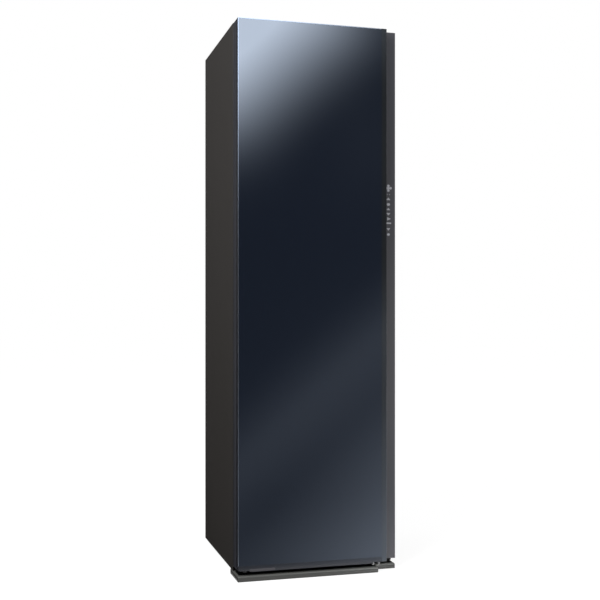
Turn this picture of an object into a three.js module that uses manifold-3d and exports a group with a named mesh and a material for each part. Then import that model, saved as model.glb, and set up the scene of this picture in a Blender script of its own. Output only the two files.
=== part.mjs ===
// Clothes care steam cabinet: a tall case with one deep glass door, a hanging chamber, a water and lint
// bay, and a heat pump, steam generator and blowers around them.
// Millimetres. X runs right as seen from the front, Y from front to back, Z up.
// The origin is on the floor, under the middle of the cabinet.

import * as THREE from 'three';
import { mergeVertices } from 'three/addons/utils/BufferGeometryUtils.js';
import loadManifold from 'manifold-3d';

// Whole cabinet
const cabinetWidth = 595;
const cabinetDepth = 632;
const cabinetHeight = 1960;

// Clearances between pieces
const seat = 0.3;
const slideGap = 0.6;
const turnGap = 0.3;
const overrun = 3;

// Outer case
const sideSheet = 1.2;
const backSheet = 1.2;
const topSheet = 2.5;
const basePlate = 3;
const baseRise = 35;
const frameThickness = 10;
const beamDepth = 62;
const beamHeight = 27;
const beamWall = 2;

// Plinth cover at the floor, stepped back on the handle side, with two ribs under the free end of the door
const plinthHeight = 20;
const plinthDepth = 130;
const plinthStepWidth = 79.5;
const plinthStepDepth = 42;
const plinthEdge = 1.5;
const glideWidth = 6;
const glideLength = 14;
const glideSpacing = 26;
const glideInset = 14;
const glideGap = 1.5;

// Levelling feet
const footSideInset = 72.5;
const footFrontInset = 20;
const footRearInset = 34;
const footRadius = 16;
const footHoleGap = 3;
const footPad = 5;
const footCone = 6;
const stemRadius = 5;
const nutRadius = 9;
const nutHeight = 7;
const stemRise = 12;

// Door
const doorDepth = 78;
const doorGap = 6;
const doorBottom = 38;
const doorTopGap = 0.5;
const doorCorner = 4;
const shellWall = 4;
const glassThickness = 4;
const trimWidth = 2.7;
const trimFlange = 27;
const trimThickness = 2;
const trimCorner = 12;
const bezelHeight = 16.7;
const railFace = 19;
const railThickness = 6;
const railLeg = 4;
const railLip = 3;
const railLipDepth = 6;
const stripWidth = 47.5;
const stripSetback = 40;
const stripThickness = 3;
const linerRim = 3;
const linerWall = 2.5;
const pocketDepth = 50;
const pocketGap = 5.5;
const pocketSideMargin = 20;
const pocketTopMargin = 12;
const pocketBottomMargin = 6;
const gasketWidth = 12;
const gasketOffset = 2.5;
const gasketTopOffset = 4;
const gasketBottomOffset = 8;

// Hinges: two pins on one upright axis near the left front edge of the door
const hingeInset = 27.5;
const hingeForward = 56;
const pinRadius = 5;
const pinLength = 27;
const bushWall = 2.9;
const bushLength = 24;
const bushFlange = 3;
const bushFlangeHeight = 5;
const bracketHalf = 20;
const bracketNose = 11;
const bracketReach = 68;
const bracketThickness = 5;

// Chamber
const chamberSideSpace = 44;
const chamberFloorTop = 334;
const ceilingSpace = 170;
const floorThickness = 4;
const ceilingThickness = 3;
const linerThickness = 2.5;
const ductDepth = 74.5;
const airSlotWidth = 10;
const airSlotLength = 160;
const ledgeWidth = 7;
const ledgeHeight = 8;
const lampLength = 120;
const lampWidth = 26;
const lampHeight = 8;
const lampInset = 17;

// Hanging rail and hangers
const railDrop = 90;
const railRadius = 9;
const railFlangeRadius = 22;
const railFlange = 5;
const hangerCount = 5;
const hangerSideGap = 73.5;
const hangerThickness = 16;
const hangerEndGap = 24.6;
const hangerDrop = 112;
const hangerBand = 20;
const hookThickness = 5;
const hookTipDegrees = -20;
const neckHalf = 8;
const neckTop = 34;
const neckBottom = 46;

// Shelf, which slides on the ledges of the side liners
const shelfHeight = 266;
const shelfThickness = 12;
const shelfFrontGap = 72;
const shelfSlotWidth = 12;
const shelfSlotMargin = 40;
const shelfSlotCount = 9;

// Deodorising filter on the back liner
const deodorWidth = 200;
const deodorHeight = 120;
const deodorThickness = 12;
const deodorRise = 66;
const deodorSlots = 5;
const deodorSlotHeight = 8;
const deodorSlotDepth = 6;
const deodorMargin = 10;

// Water and lint bay under the chamber floor
const bayFloorTop = 75;
const bayTopDrop = 34;
const shelfPlate = 3;
const bayWall = 2.5;
const bayWindowMargin = 5;
const bayWindowRise = 25;
const housingWidth = 66;
const housingWall = 2.5;

// Tanks
const tankRecess = 20;
const tankDepth = 148;
const tankRearGap = 6;
const tankSideGap = 3;
const tankPocketGap = 4;
const tankWall = 2.5;
const tankTopGap = 16;
const lidThickness = 4;
const capRadius = 20;
const capHeight = 7;
const capInset = 40;
const gripWidth = 90;
const gripHeight = 35;
const gripDepth = 25;
const gripDrop = 34;

// Lint filter, which lifts out of the chamber floor
const basketWidth = 59;
const basketLength = 105;
const basketDepth = 200;
const basketWall = 1.5;
const basketFront = 7;
const basketFlange = 6;
const basketFlangeThickness = 2.7;
const basketSlotWidth = 14;
const basketSlots = 4;
const basketHandleWidth = 30;
const basketHandleThickness = 8;
const basketHandleHeight = 15;
const basketWindowMargin = 12;

// Steam generator, hose, nozzle and pump
const generatorLeft = 46;
const generatorWidth = 150;
const generatorHeight = 120;
const generatorGap = 10;
const generatorRearGap = 20;
const spigotRadius = 8;
const spigotHeight = 17;
const spigotInset = 30;
const hoseStraight = 24;
const nozzleStem = 10;
const nozzleStemLength = 12;
const nozzleRadius = 36;
const nozzleFlange = 4;
const nozzleDome = 24;
const nozzleHeight = 12;
const nozzleBack = 40;
const pumpRadius = 24;
const pumpHeight = 52;
const pumpSpacing = 12;
const pumpSpigot = 6;
const pumpSpigotRise = 30;

// Heat pump
const compressorRadius = 62;
const compressorBase = 75;
const compressorBasePlate = 6;
const compressorHeight = 170;
const compressorDome = 46;
const compressorInset = 16;
const compressorRearGap = 46;
const coilLeft = 20;
const coilRight = 16;
const coilHeight = 200;
const coilGap = 20;
const coilBase = 14;
const coilPost = 12;
const coilFins = 20;
const finShare = 0.4;
const pipeRadius = 5;
const pipeRise = 30;

// Blowers: the circulation fan at the back of the machine space and the top blower over the ceiling
const drumRadius = 92;
const drumDepth = 66;
const drumWall = 3;
const drumInlet = 60;
const drumMouthWidth = 70;
const drumMouthMargin = 8;
const drumStand = 60;
const fanCentreRise = 112;
const fanRearGap = 64;
const fanFrontGap = 80;
const motorRadius = 38;
const motorLength = 45;
const shaftRadius = 5;
const shaftHole = 3;
const bladeDepth = 15;
const bladeThickness = 2;
const bladeCount = 18;
const impellerGap = 11;
const impellerDisc = 3;
const impellerRing = 3;
const hubWall = 6;
const hubLift = 3;
const blowerY = 60;

// Electrics
const boxLeftGap = 55;
const boxRightGap = 13;
const boxDepth = 150;
const boxHeight = 160;
const inletWidth = 50;
const inletHeight = 30;
const inletOffset = 45;
const inletRise = 32;
const socketWidth = 24;
const socketHeight = 16;
const socketDepth = 18;
const socketWall = 5;

// Counts of facets on round pieces
const fineFacets = 32;
const roundFacets = 24;
const smallFacets = 16;
const hoseFacets = 8;
const cornerSteps = 6;

// Places that follow from the sizes
const halfWidth = cabinetWidth / 2;
const frontY = -cabinetDepth / 2;
const rearY = cabinetDepth / 2;
const doorRearY = frontY + doorDepth;
const bodyFrontY = doorRearY + doorGap;
const backInnerY = rearY - backSheet - seat;
const topUndersideZ = cabinetHeight - topSheet;
const caseTopZ = topUndersideZ - seat;
const chamberCeiling = cabinetHeight - ceilingSpace;
const caseBottomZ = plinthHeight + seat;
const baseTopZ = baseRise + basePlate;
const onBaseZ = baseTopZ + seat;
const innerHalf = halfWidth - sideSheet - seat;
const linerFrontY = bodyFrontY + frameThickness + seat;
const chamberHalf = halfWidth - chamberSideSpace;
const linerOuterHalf = chamberHalf + linerThickness;
const linerBackRearY = backInnerY - ductDepth;
const linerBackY = linerBackRearY - linerThickness;
const floorUnderZ = chamberFloorTop - floorThickness;
const doorTopZ = topUndersideZ - doorTopGap;
const hingeX = -halfWidth + hingeInset;
const hingeY = doorRearY - hingeForward;
const shellFrontY = frontY + glassThickness + seat;
const stripFrontY = frontY + stripSetback;
const shellStripY = stripFrontY + stripThickness + seat;
const shellLeftX = -halfWidth + trimThickness + seat;
const faceRightX = halfWidth - stripWidth;
const glassRightX = faceRightX - railFace - seat;
const channelX = glassRightX - railLeg / 2 - seat;
const cavityLeftX = shellLeftX + shellWall;
const cavityRightX = halfWidth - shellWall;
const pocketRightX = channelX - shellWall - linerWall - pocketGap;
const gasketInnerHalf = chamberHalf + gasketOffset;
const pocketLeftX = -gasketInnerHalf + pocketSideMargin;
const pocketBackY = doorRearY - pocketDepth;
const tankOuterX = pocketRightX - tankPocketGap;
const tankInnerX = housingWidth / 2 + tankSideGap;
const bayHalf = tankOuterX + tankSideGap;
const bayTopZ = chamberFloorTop - bayTopDrop;
const tankFrontY = bodyFrontY + tankRecess;
const tankRearY = tankFrontY + tankDepth;
const bayWallY = tankRearY + tankRearGap;
const machineFrontY = bayWallY + bayWall;
const machineDepth = backInnerY - machineFrontY;
const tankTopZ = bayTopZ - tankTopGap;
const railY = (linerFrontY + linerBackY) / 2;
const railZ = chamberCeiling - railDrop;
const compressorX = -innerHalf + compressorInset + compressorBase;
const compressorY = backInnerY - compressorRearGap - compressorBase;
const generatorY = machineFrontY + generatorGap;
const generatorDepth = compressorY - compressorBase - generatorRearGap - generatorY;
const coilX0 = coilLeft;
const coilX1 = innerHalf - coilRight;
const coilDepth = (machineDepth - fanRearGap - drumDepth - fanFrontGap) / 2 - coilGap;
const fanCentreX = (coilX0 + coilX1) / 2;
const boxX0 = compressorX + compressorBase + boxLeftGap;
const boxX1 = fanCentreX - drumRadius - boxRightGap;

// Finishes
const graphitePaint = { color: 0x3b3936, roughness: 0.5, metalness: 0.3 };
const plinthPaint = { color: 0x4a4a4c, roughness: 0.45, metalness: 0.3 };
const zincSteel = { color: 0xa9adb0, roughness: 0.4, metalness: 0.85 };
const mirrorGlass = { color: 0x171c28, roughness: 0.05, metalness: 0.2 };
const brightTrim = { color: 0x9aa0aa, roughness: 0.25, metalness: 0.9 };
const railMetal = { color: 0x2b2e33, roughness: 0.3, metalness: 0.7 };
const stripSatin = { color: 0x46474b, roughness: 0.4, metalness: 0.5 };
const shellPlastic = { color: 0x2a2b31, roughness: 0.5, metalness: 0.1 };
const linerPlastic = { color: 0xb9bcc0, roughness: 0.45, metalness: 0 };
const darkPlastic = { color: 0x33353a, roughness: 0.55, metalness: 0 };
const sealRubber = { color: 0x4c4e52, roughness: 0.8, metalness: 0 };
const tankPlastic = { color: 0x6d747c, roughness: 0.2, metalness: 0 };
const copperTube = { color: 0xb4744a, roughness: 0.35, metalness: 0.9 };
const lampPlastic = { color: 0xf2f2ee, roughness: 0.3, metalness: 0 };
const finMetal = { color: 0xc3c7ca, roughness: 0.35, metalness: 0.9 };
const motorBlack = { color: 0x1d1e20, roughness: 0.45, metalness: 0.4 };
const casePlastic = { color: 0x8d9094, roughness: 0.5, metalness: 0 };

// Shapes and solids
const kernel = await loadManifold();
kernel.setup();

function toSolid(geometry) {
  const bare = geometry.clone();
  bare.deleteAttribute('normal');
  bare.deleteAttribute('uv');
  const merged = mergeVertices(bare);
  const vertProperties = new Float32Array(merged.attributes.position.array);
  const triVerts = new Uint32Array(merged.index.array);
  return new kernel.Manifold(new kernel.Mesh({ numProp: 3, vertProperties, triVerts }));
}

function fromSolid(solid) {
  const mesh = solid.getMesh();
  const geometry = new THREE.BufferGeometry();
  geometry.setAttribute('position', new THREE.BufferAttribute(mesh.vertProperties, mesh.numProp));
  geometry.setIndex(new THREE.BufferAttribute(mesh.triVerts, 1));
  geometry.computeVertexNormals();
  return geometry;
}

function joined(...geometries) {
  const [first, ...others] = geometries.map(toSolid);
  return fromSolid(others.reduce((whole, other) => whole.add(other), first));
}

function cut(geometry, ...cutters) {
  const whole = cutters.map(toSolid).reduce((rest, cutter) => rest.subtract(cutter), toSolid(geometry));
  return fromSolid(whole);
}

function trimmed(geometry, limit) {
  return fromSolid(toSolid(geometry).intersect(toSolid(limit)));
}

function block(x0, x1, y0, y1, z0, z1) {
  const geometry = new THREE.BoxGeometry(x1 - x0, y1 - y0, z1 - z0);
  return geometry.translate((x0 + x1) / 2, (y0 + y1) / 2, (z0 + z1) / 2);
}

// A block as wide as its half width on each side of the middle plane
function wideBlock(half, y0, y1, z0, z1) {
  return block(-half, half, y0, y1, z0, z1);
}

function rod(x, y, z0, z1, radius, facets = roundFacets) {
  const geometry = new THREE.CylinderGeometry(radius, radius, z1 - z0, facets);
  return geometry.rotateX(Math.PI / 2).translate(x, y, (z0 + z1) / 2);
}

function turned(profile, facets = roundFacets) {
  const points = profile.map(([radius, height]) => new THREE.Vector2(radius, height));
  return new THREE.LatheGeometry(points, facets).rotateX(Math.PI / 2);
}

function upright(shape, z0, z1) {
  const options = { depth: z1 - z0, bevelEnabled: false, curveSegments: cornerSteps };
  return new THREE.ExtrudeGeometry(shape, options).translate(0, 0, z0);
}

// A shape drawn in X and Z, made solid from y0 to y1
function frontToBack(shape, y0, y1) {
  return upright(shape, 0, y1 - y0).rotateX(Math.PI / 2).translate(0, y1, 0);
}

// A shape drawn in Y and Z, made solid from x0 to x1
function leftToRight(shape, x0, x1) {
  const turn = new THREE.Matrix4().set(0, 0, 1, 0, 1, 0, 0, 0, 0, 1, 0, 0, 0, 0, 0, 1);
  return upright(shape, x0, x1).applyMatrix4(turn);
}

function polygon(points) {
  return new THREE.Shape(points.map(([x, y]) => new THREE.Vector2(x, y)));
}

function tubeAlong(points, radius, steps) {
  const section = new THREE.Shape();
  section.absarc(0, 0, radius, 0, 2 * Math.PI);
  const extrudePath = new THREE.CatmullRomCurve3(points);
  const options = { steps, extrudePath, curveSegments: hoseFacets / 2 };
  return new THREE.ExtrudeGeometry(section, options);
}

function piece(parent, name, geometry, finish) {
  const mesh = new THREE.Mesh(geometry, new THREE.MeshStandardMaterial(finish));
  mesh.name = name;
  parent.add(mesh);
  return mesh;
}

const cabinet = new THREE.Group();

// Outer case: two side panels, a back panel and a top panel around a front frame and a base plate
function footPlaces() {
  const frontFootY = bodyFrontY + footFrontInset;
  const rearFootY = backInnerY - footRearInset;
  const half = halfWidth - footSideInset;
  return [[-half, frontFootY], [half, frontFootY], [-half, rearFootY], [half, rearFootY]];
}

function sidePanel(side) {
  const edges = [side * halfWidth, side * (halfWidth - sideSheet)];
  return block(Math.min(...edges), Math.max(...edges), bodyFrontY, backInnerY, caseBottomZ, caseTopZ);
}

function inletCentre() {
  return { x: boxX0 + inletOffset, z: onBaseZ + inletRise + inletHeight / 2 };
}

function backPanel() {
  const { x, z } = inletCentre();
  const half = inletWidth / 2 + seat;
  const rise = inletHeight / 2 + seat;
  const sheet = wideBlock(halfWidth, rearY - backSheet, rearY, caseBottomZ, caseTopZ);
  return cut(sheet, block(x - half, x + half, rearY - overrun, rearY + overrun, z - rise, z + rise));
}

function topPanel() {
  const sheet = wideBlock(halfWidth, bodyFrontY, rearY, topUndersideZ, cabinetHeight);
  const notchHalf = bracketHalf + seat;
  const notchBackY = bodyFrontY + bracketReach + seat;
  const notchTop = cabinetHeight + overrun;
  const notch = block(hingeX - notchHalf, hingeX + notchHalf, bodyFrontY - overrun, notchBackY,
    topUndersideZ - overrun, notchTop);
  return cut(sheet, notch);
}

function basePlateBody() {
  const plate = wideBlock(innerHalf, bodyFrontY, backInnerY, baseRise, baseTopZ);
  const holes = footPlaces().map(([x, y]) =>
    rod(x, y, baseRise - overrun, baseTopZ + overrun, stemRadius + turnGap, smallFacets));
  return cut(plate, ...holes);
}

function frontFrame() {
  const plate = wideBlock(innerHalf, bodyFrontY, bodyFrontY + frameThickness, onBaseZ, caseTopZ);
  const cutFrontY = bodyFrontY - overrun;
  const cutBackY = bodyFrontY + frameThickness + overrun;
  const chamberMouth = wideBlock(chamberHalf, cutFrontY, cutBackY, chamberFloorTop, chamberCeiling);
  const bayMouth = wideBlock(bayHalf, cutFrontY, cutBackY, bayFloorTop, bayTopZ);
  return cut(plate, chamberMouth, bayMouth);
}

function frontBeam() {
  const beamBackY = linerFrontY + beamDepth;
  const beamBottomZ = caseTopZ - beamHeight;
  const channel = polygon([
    [linerFrontY, beamBottomZ],
    [linerFrontY + beamWall, beamBottomZ],
    [linerFrontY + beamWall, caseTopZ - beamWall],
    [beamBackY - beamWall, caseTopZ - beamWall],
    [beamBackY - beamWall, beamBottomZ],
    [beamBackY, beamBottomZ],
    [beamBackY, caseTopZ],
    [linerFrontY, caseTopZ],
  ]);
  return leftToRight(channel, -innerHalf, innerHalf);
}

piece(cabinet, 'left_side_panel', sidePanel(-1), graphitePaint);
piece(cabinet, 'right_side_panel', sidePanel(1), graphitePaint);
piece(cabinet, 'back_panel', backPanel(), zincSteel);
piece(cabinet, 'top_panel', topPanel(), graphitePaint);
piece(cabinet, 'base_plate', basePlateBody(), zincSteel);
piece(cabinet, 'front_frame', frontFrame(), linerPlastic);
piece(cabinet, 'front_beam_top', frontBeam(), zincSteel);

// Plinth cover: a low moulding with bevelled edges, holes for the front feet and two ribs for the door
function plinthCover() {
  const stepX = halfWidth - plinthStepWidth;
  const stepY = frontY + plinthStepDepth;
  const plinthBackY = frontY + plinthDepth;
  const inset = plinthEdge;
  const outline = polygon([
    [-halfWidth + inset, frontY + inset],
    [stepX - inset, frontY + inset],
    [stepX - inset, stepY + inset],
    [halfWidth - inset, stepY + inset],
    [halfWidth - inset, plinthBackY - inset],
    [-halfWidth + inset, plinthBackY - inset],
  ]);
  const edge = { bevelThickness: plinthEdge, bevelSize: plinthEdge, bevelSegments: 1 };
  const moulding = new THREE.ExtrudeGeometry(outline, { depth: plinthHeight - 2 * plinthEdge, ...edge });
  moulding.translate(0, 0, plinthEdge);
  const ribTop = doorBottom - glideGap;
  const outerRibX = stepX + glideInset;
  const innerRibX = outerRibX - glideSpacing;
  const ribs = [[innerRibX, stepY - glideLength], [outerRibX, stepY + plinthEdge]].map(([x, y]) =>
    block(x, x + glideWidth, y - plinthEdge, y - plinthEdge + glideLength, plinthHeight - overrun, ribTop));
  const frontFeet = footPlaces().slice(0, 2);
  const holes = frontFeet.map(([x, y]) =>
    rod(x, y, -overrun, plinthHeight + overrun, footRadius + footHoleGap));
  return cut(joined(moulding, ...ribs), ...holes);
}

piece(cabinet, 'plinth_cover', plinthCover(), plinthPaint);

// Levelling feet: a pad, a cone and a threaded stem with its nut, which turn in the base plate
const footProfile = [
  [0, 0],
  [footRadius, 0],
  [footRadius, footPad],
  [nutRadius, footPad + footCone],
  [stemRadius, footPad + footCone],
  [stemRadius, baseRise - seat - nutHeight],
  [nutRadius, baseRise - seat - nutHeight],
  [nutRadius, baseRise - seat],
  [stemRadius, baseRise - seat],
  [stemRadius, baseTopZ + stemRise],
  [0, baseTopZ + stemRise],
];
footPlaces().forEach(([x, y], index) => {
  const foot = piece(cabinet, `foot_${index + 1}`, turned(footProfile, smallFacets), darkPlastic);
  foot.position.set(x, y, 0);
});

// Hinge brackets: a plate that reaches from the case to the hinge axis, with a pin riveted in its nose
function bracketPlate(z0, z1) {
  const shape = new THREE.Shape();
  shape.absarc(hingeX, hingeY, bracketNose, Math.PI, 2 * Math.PI);
  shape.lineTo(hingeX + bracketHalf, bodyFrontY);
  shape.lineTo(hingeX + bracketHalf, bodyFrontY + bracketReach);
  shape.lineTo(hingeX - bracketHalf, bodyFrontY + bracketReach);
  shape.lineTo(hingeX - bracketHalf, bodyFrontY);
  return upright(shape, z0, z1);
}

const bracketTopZ = baseRise - seat;
const lowerPin = rod(hingeX, hingeY, bracketTopZ - bracketThickness, bracketTopZ + pinLength, pinRadius,
  smallFacets);
const lowerPlate = bracketPlate(bracketTopZ - bracketThickness, bracketTopZ);
const upperPin = rod(hingeX, hingeY, topUndersideZ - pinLength, cabinetHeight, pinRadius, smallFacets);
const upperPlate = bracketPlate(topUndersideZ, cabinetHeight);
piece(cabinet, 'hinge_bracket_bottom', joined(lowerPlate, lowerPin), zincSteel);
piece(cabinet, 'hinge_bracket_top', joined(upperPlate, upperPin), zincSteel);

// Chamber: a moulded liner of separate walls, floor and ceiling
function sideLiner(side) {
  const wallEdges = [side * chamberHalf, side * linerOuterHalf];
  const ledgeEdges = [side * (chamberHalf - ledgeWidth), side * (chamberHalf + linerThickness / 2)];
  const ledgeTopZ = chamberFloorTop + shelfHeight - seat;
  const ledgeFrontY = linerFrontY + shelfFrontGap - ledgeWidth;
  const wall = block(Math.min(...wallEdges), Math.max(...wallEdges), linerFrontY, linerBackRearY,
    chamberFloorTop + seat, chamberCeiling - seat);
  const ledge = block(Math.min(...ledgeEdges), Math.max(...ledgeEdges), ledgeFrontY, linerBackY - seat,
    ledgeTopZ - ledgeHeight, ledgeTopZ);
  return joined(wall, ledge);
}

function basketPlace() {
  const y0 = tankFrontY + basketFront;
  return { half: basketWidth / 2, y0, y1: y0 + basketLength, z0: chamberFloorTop - basketDepth };
}

function nozzlePlace() {
  const right = -innerHalf + generatorLeft + generatorWidth;
  return { x: right - spigotInset, y: generatorY + generatorDepth / 2 + nozzleBack };
}

function chamberFloor() {
  const plate = wideBlock(linerOuterHalf, linerFrontY, linerBackRearY, floorUnderZ, chamberFloorTop);
  const basket = basketPlace();
  const z0 = floorUnderZ - overrun;
  const z1 = chamberFloorTop + overrun;
  const slot = wideBlock(basket.half + slideGap, basket.y0 - slideGap, basket.y1 + slideGap, z0, z1);
  const { x, y } = nozzlePlace();
  return cut(plate, slot, rod(x, y, z0, z1, nozzleStem + seat));
}

function hangerPlaces() {
  const outer = chamberHalf - hangerSideGap;
  return Array.from({ length: hangerCount }, (_, index) => outer * (2 * index / (hangerCount - 1) - 1));
}

function chamberCeilingPanel() {
  const topZ = chamberCeiling + ceilingThickness;
  const panel = wideBlock(linerOuterHalf, linerFrontY, linerBackRearY, chamberCeiling, topZ);
  const slots = hangerPlaces().map((x) => block(x - airSlotWidth / 2, x + airSlotWidth / 2,
    railY - airSlotLength / 2, railY + airSlotLength / 2, chamberCeiling - overrun, topZ + overrun));
  return cut(panel, ...slots);
}

const chamber = new THREE.Group();
cabinet.add(chamber);
piece(chamber, 'liner_left', sideLiner(-1), linerPlastic);
piece(chamber, 'liner_right', sideLiner(1), linerPlastic);
piece(chamber, 'liner_back', wideBlock(chamberHalf - seat, linerBackY, linerBackRearY,
  chamberFloorTop + seat, chamberCeiling - seat), linerPlastic);
piece(chamber, 'chamber_floor', chamberFloor(), linerPlastic);
piece(chamber, 'chamber_ceiling', chamberCeilingPanel(), linerPlastic);
const lampY = bodyFrontY + frameThickness + lampInset;
piece(chamber, 'lamp_lens', wideBlock(lampLength / 2, lampY, lampY + lampWidth,
  chamberCeiling - seat - lampHeight, chamberCeiling - seat), lampPlastic);

// Hanging rail: a round bar between flanges on the side liners, and the hangers that swing on it
const railLength = 2 * (chamberHalf - seat);
const railProfile = [
  [0, 0],
  [railFlangeRadius, 0],
  [railFlangeRadius, railFlange],
  [railRadius, railFlange],
  [railRadius, railLength - railFlange],
  [railFlangeRadius, railLength - railFlange],
  [railFlangeRadius, railLength],
  [0, railLength],
];
const rail = piece(chamber, 'hanger_rail', turned(railProfile), brightTrim);
rail.rotation.y = Math.PI / 2;
rail.position.set(-railLength / 2, railY, railZ);

// Hanger outline in its own plane, with the middle of the rail as its origin
function hangerOutline() {
  const inner = railRadius + turnGap;
  const outer = inner + hookThickness;
  const tipAngle = THREE.MathUtils.degToRad(hookTipDegrees);
  const tip = (linerBackY - linerFrontY) / 2 - hangerEndGap;
  const half = tip / 2;
  const crown = (neckBottom + hangerDrop) / 2 - hangerBand / 2;
  const shape = new THREE.Shape();
  shape.absarc(0, 0, outer, tipAngle, Math.PI);
  shape.lineTo(-neckHalf, -neckTop);
  shape.lineTo(-neckHalf, -neckBottom);
  shape.quadraticCurveTo(-half, -crown, -tip, -hangerDrop);
  shape.lineTo(-tip, -hangerDrop - hangerBand);
  shape.quadraticCurveTo(-half, -crown - hangerBand, 0, -neckBottom - hangerBand);
  shape.quadraticCurveTo(half, -crown - hangerBand, tip, -hangerDrop - hangerBand);
  shape.lineTo(tip, -hangerDrop);
  shape.quadraticCurveTo(half, -crown, neckHalf, -neckBottom);
  shape.lineTo(neckHalf, -neckTop);
  shape.lineTo(-inner, -hookThickness);
  shape.absarc(0, 0, inner, Math.PI, tipAngle, true);
  return shape;
}

hangerPlaces().forEach((x, index) => {
  const body = leftToRight(hangerOutline(), -hangerThickness / 2, hangerThickness / 2);
  const hanger = piece(chamber, `hanger_${index + 1}`, body, darkPlastic);
  hanger.position.set(x, railY, railZ);
});

// Shelf: a slotted tray on the ledges
function shelfTray() {
  const half = chamberHalf - slideGap;
  const y1 = linerBackY - slideGap;
  const y0 = linerFrontY + shelfFrontGap;
  const z0 = chamberFloorTop + shelfHeight;
  const z1 = z0 + shelfThickness;
  const pitch = 2 * (half - shelfSlotMargin) / (shelfSlotCount - 1);
  const slots = Array.from({ length: shelfSlotCount }, (_, index) => {
    const x = -half + shelfSlotMargin + index * pitch;
    return block(x - shelfSlotWidth / 2, x + shelfSlotWidth / 2, y0 + shelfSlotMargin,
      y1 - shelfSlotMargin, z0 - overrun, z1 + overrun);
  });
  return cut(wideBlock(half, y0, y1, z0, z1), ...slots);
}

piece(chamber, 'shelf', shelfTray(), linerPlastic);

// Deodorising filter: a cassette with louvres, clipped to the back liner
function deodorCassette() {
  const y1 = linerBackY - seat;
  const y0 = y1 - deodorThickness;
  const z0 = chamberFloorTop + deodorRise;
  const pitch = (deodorHeight - 2 * deodorMargin) / deodorSlots;
  const louvres = Array.from({ length: deodorSlots }, (_, index) => {
    const z = z0 + deodorMargin + (index + 1 / 2) * pitch;
    return wideBlock(deodorWidth / 2 - deodorMargin, y0 - overrun, y0 + deodorSlotDepth,
      z - deodorSlotHeight / 2, z + deodorSlotHeight / 2);
  });
  return cut(wideBlock(deodorWidth / 2, y0, y1, z0, z0 + deodorHeight), ...louvres);
}

piece(chamber, 'deodorising_filter', deodorCassette(), darkPlastic);

// Water and lint bay: shelf and back wall, with the duct that holds the lint filter between the tanks
const bay = new THREE.Group();
cabinet.add(bay);

function filterHousing() {
  const half = housingWidth / 2;
  const y1 = bayWallY - seat;
  const duct = wideBlock(half, tankFrontY, y1, bayFloorTop + seat, floorUnderZ - seat);
  const hollow = wideBlock(half - housingWall, tankFrontY + housingWall, y1 + overrun,
    bayFloorTop + seat + housingWall, floorUnderZ + overrun);
  return cut(duct, hollow);
}

function bayBackWall() {
  const wall = wideBlock(innerHalf, bayWallY, machineFrontY, onBaseZ, floorUnderZ - seat);
  const window = wideBlock(housingWidth / 2 - bayWindowMargin, bayWallY - overrun, machineFrontY + overrun,
    bayFloorTop + bayWindowRise, floorUnderZ - bayWindowRise);
  return cut(wall, window);
}

piece(bay, 'tank_shelf', wideBlock(innerHalf, linerFrontY, bayWallY - seat, bayFloorTop - shelfPlate,
  bayFloorTop), zincSteel);
piece(bay, 'bay_back_wall', bayBackWall(), linerPlastic);
piece(bay, 'filter_housing', filterHousing(), darkPlastic);

// Lint filter: a basket hung from a slotted flange with a handle
function lintBasket() {
  const { half, y0, y1, z0 } = basketPlace();
  const flangeZ = chamberFloorTop + seat;
  const topZ = flangeZ + basketFlangeThickness;
  const wall = basketWall;
  const shell = wideBlock(half, y0, y1, z0, topZ);
  const hollow = wideBlock(half - wall, y0 + wall, y1 - wall, z0 + wall, flangeZ);
  const windowHalf = half - basketWindowMargin;
  const window = wideBlock(windowHalf, y1 - wall - overrun, y1 + overrun, z0 + basketWindowMargin,
    floorUnderZ - basketWindowMargin);
  const flange = wideBlock(half + basketFlange, y0 - basketFlange, y1 + basketFlange, flangeZ, topZ);
  const pitch = (y1 - y0) / basketSlots;
  const slots = [];
  for (let index = 0; index < basketSlots; index += 1) {
    const y = y0 + (index + 1 / 2) * pitch;
    slots.push(wideBlock(half - basketFlange, y - basketSlotWidth / 2, y + basketSlotWidth / 2,
      flangeZ - overrun, topZ + overrun));
  }
  const middleY = (y0 + y1) / 2;
  const handle = wideBlock(basketHandleWidth / 2, middleY - basketHandleThickness / 2,
    middleY + basketHandleThickness / 2, flangeZ, topZ + basketHandleHeight);
  return joined(cut(joined(shell, flange), hollow, window, ...slots), handle);
}

piece(bay, 'lint_filter', lintBasket(), tankPlastic);

// Water tanks: open boxes with a finger recess in front, each under its lid with a filler cap
function tankEdges(side) {
  return [side * tankInnerX, side * tankOuterX].sort((low, high) => low - high);
}

function tankBody(side) {
  const [x0, x1] = tankEdges(side);
  const z0 = bayFloorTop + seat;
  const wall = tankWall;
  const outer = block(x0, x1, tankFrontY, tankRearY, z0, tankTopZ);
  const inner = block(x0 + wall, x1 - wall, tankFrontY + wall, tankRearY - wall, z0 + wall,
    tankTopZ + overrun);
  const middle = (x0 + x1) / 2;
  const half = gripWidth / 2;
  const gripTop = tankTopZ - gripDrop;
  const gripBottom = gripTop - gripHeight;
  const scoop = block(middle - half - wall, middle + half + wall, tankFrontY,
    tankFrontY + gripDepth + wall, gripBottom - wall, gripTop + wall);
  const grip = block(middle - half, middle + half, tankFrontY - overrun, tankFrontY + gripDepth,
    gripBottom, gripTop);
  return cut(joined(cut(outer, inner), scoop), grip);
}

function tankLid(side) {
  const [x0, x1] = tankEdges(side);
  const z0 = tankTopZ + seat;
  const z1 = z0 + lidThickness;
  const plate = block(x0, x1, tankFrontY, tankRearY, z0, z1);
  const cap = rod((x0 + x1) / 2, tankRearY - capInset, z0, z1 + capHeight, capRadius);
  return joined(plate, cap);
}

piece(bay, 'supply_tank', tankBody(-1), tankPlastic);
piece(bay, 'supply_tank_lid', tankLid(-1), darkPlastic);
piece(bay, 'drain_tank', tankBody(1), tankPlastic);
piece(bay, 'drain_tank_lid', tankLid(1), darkPlastic);

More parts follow.
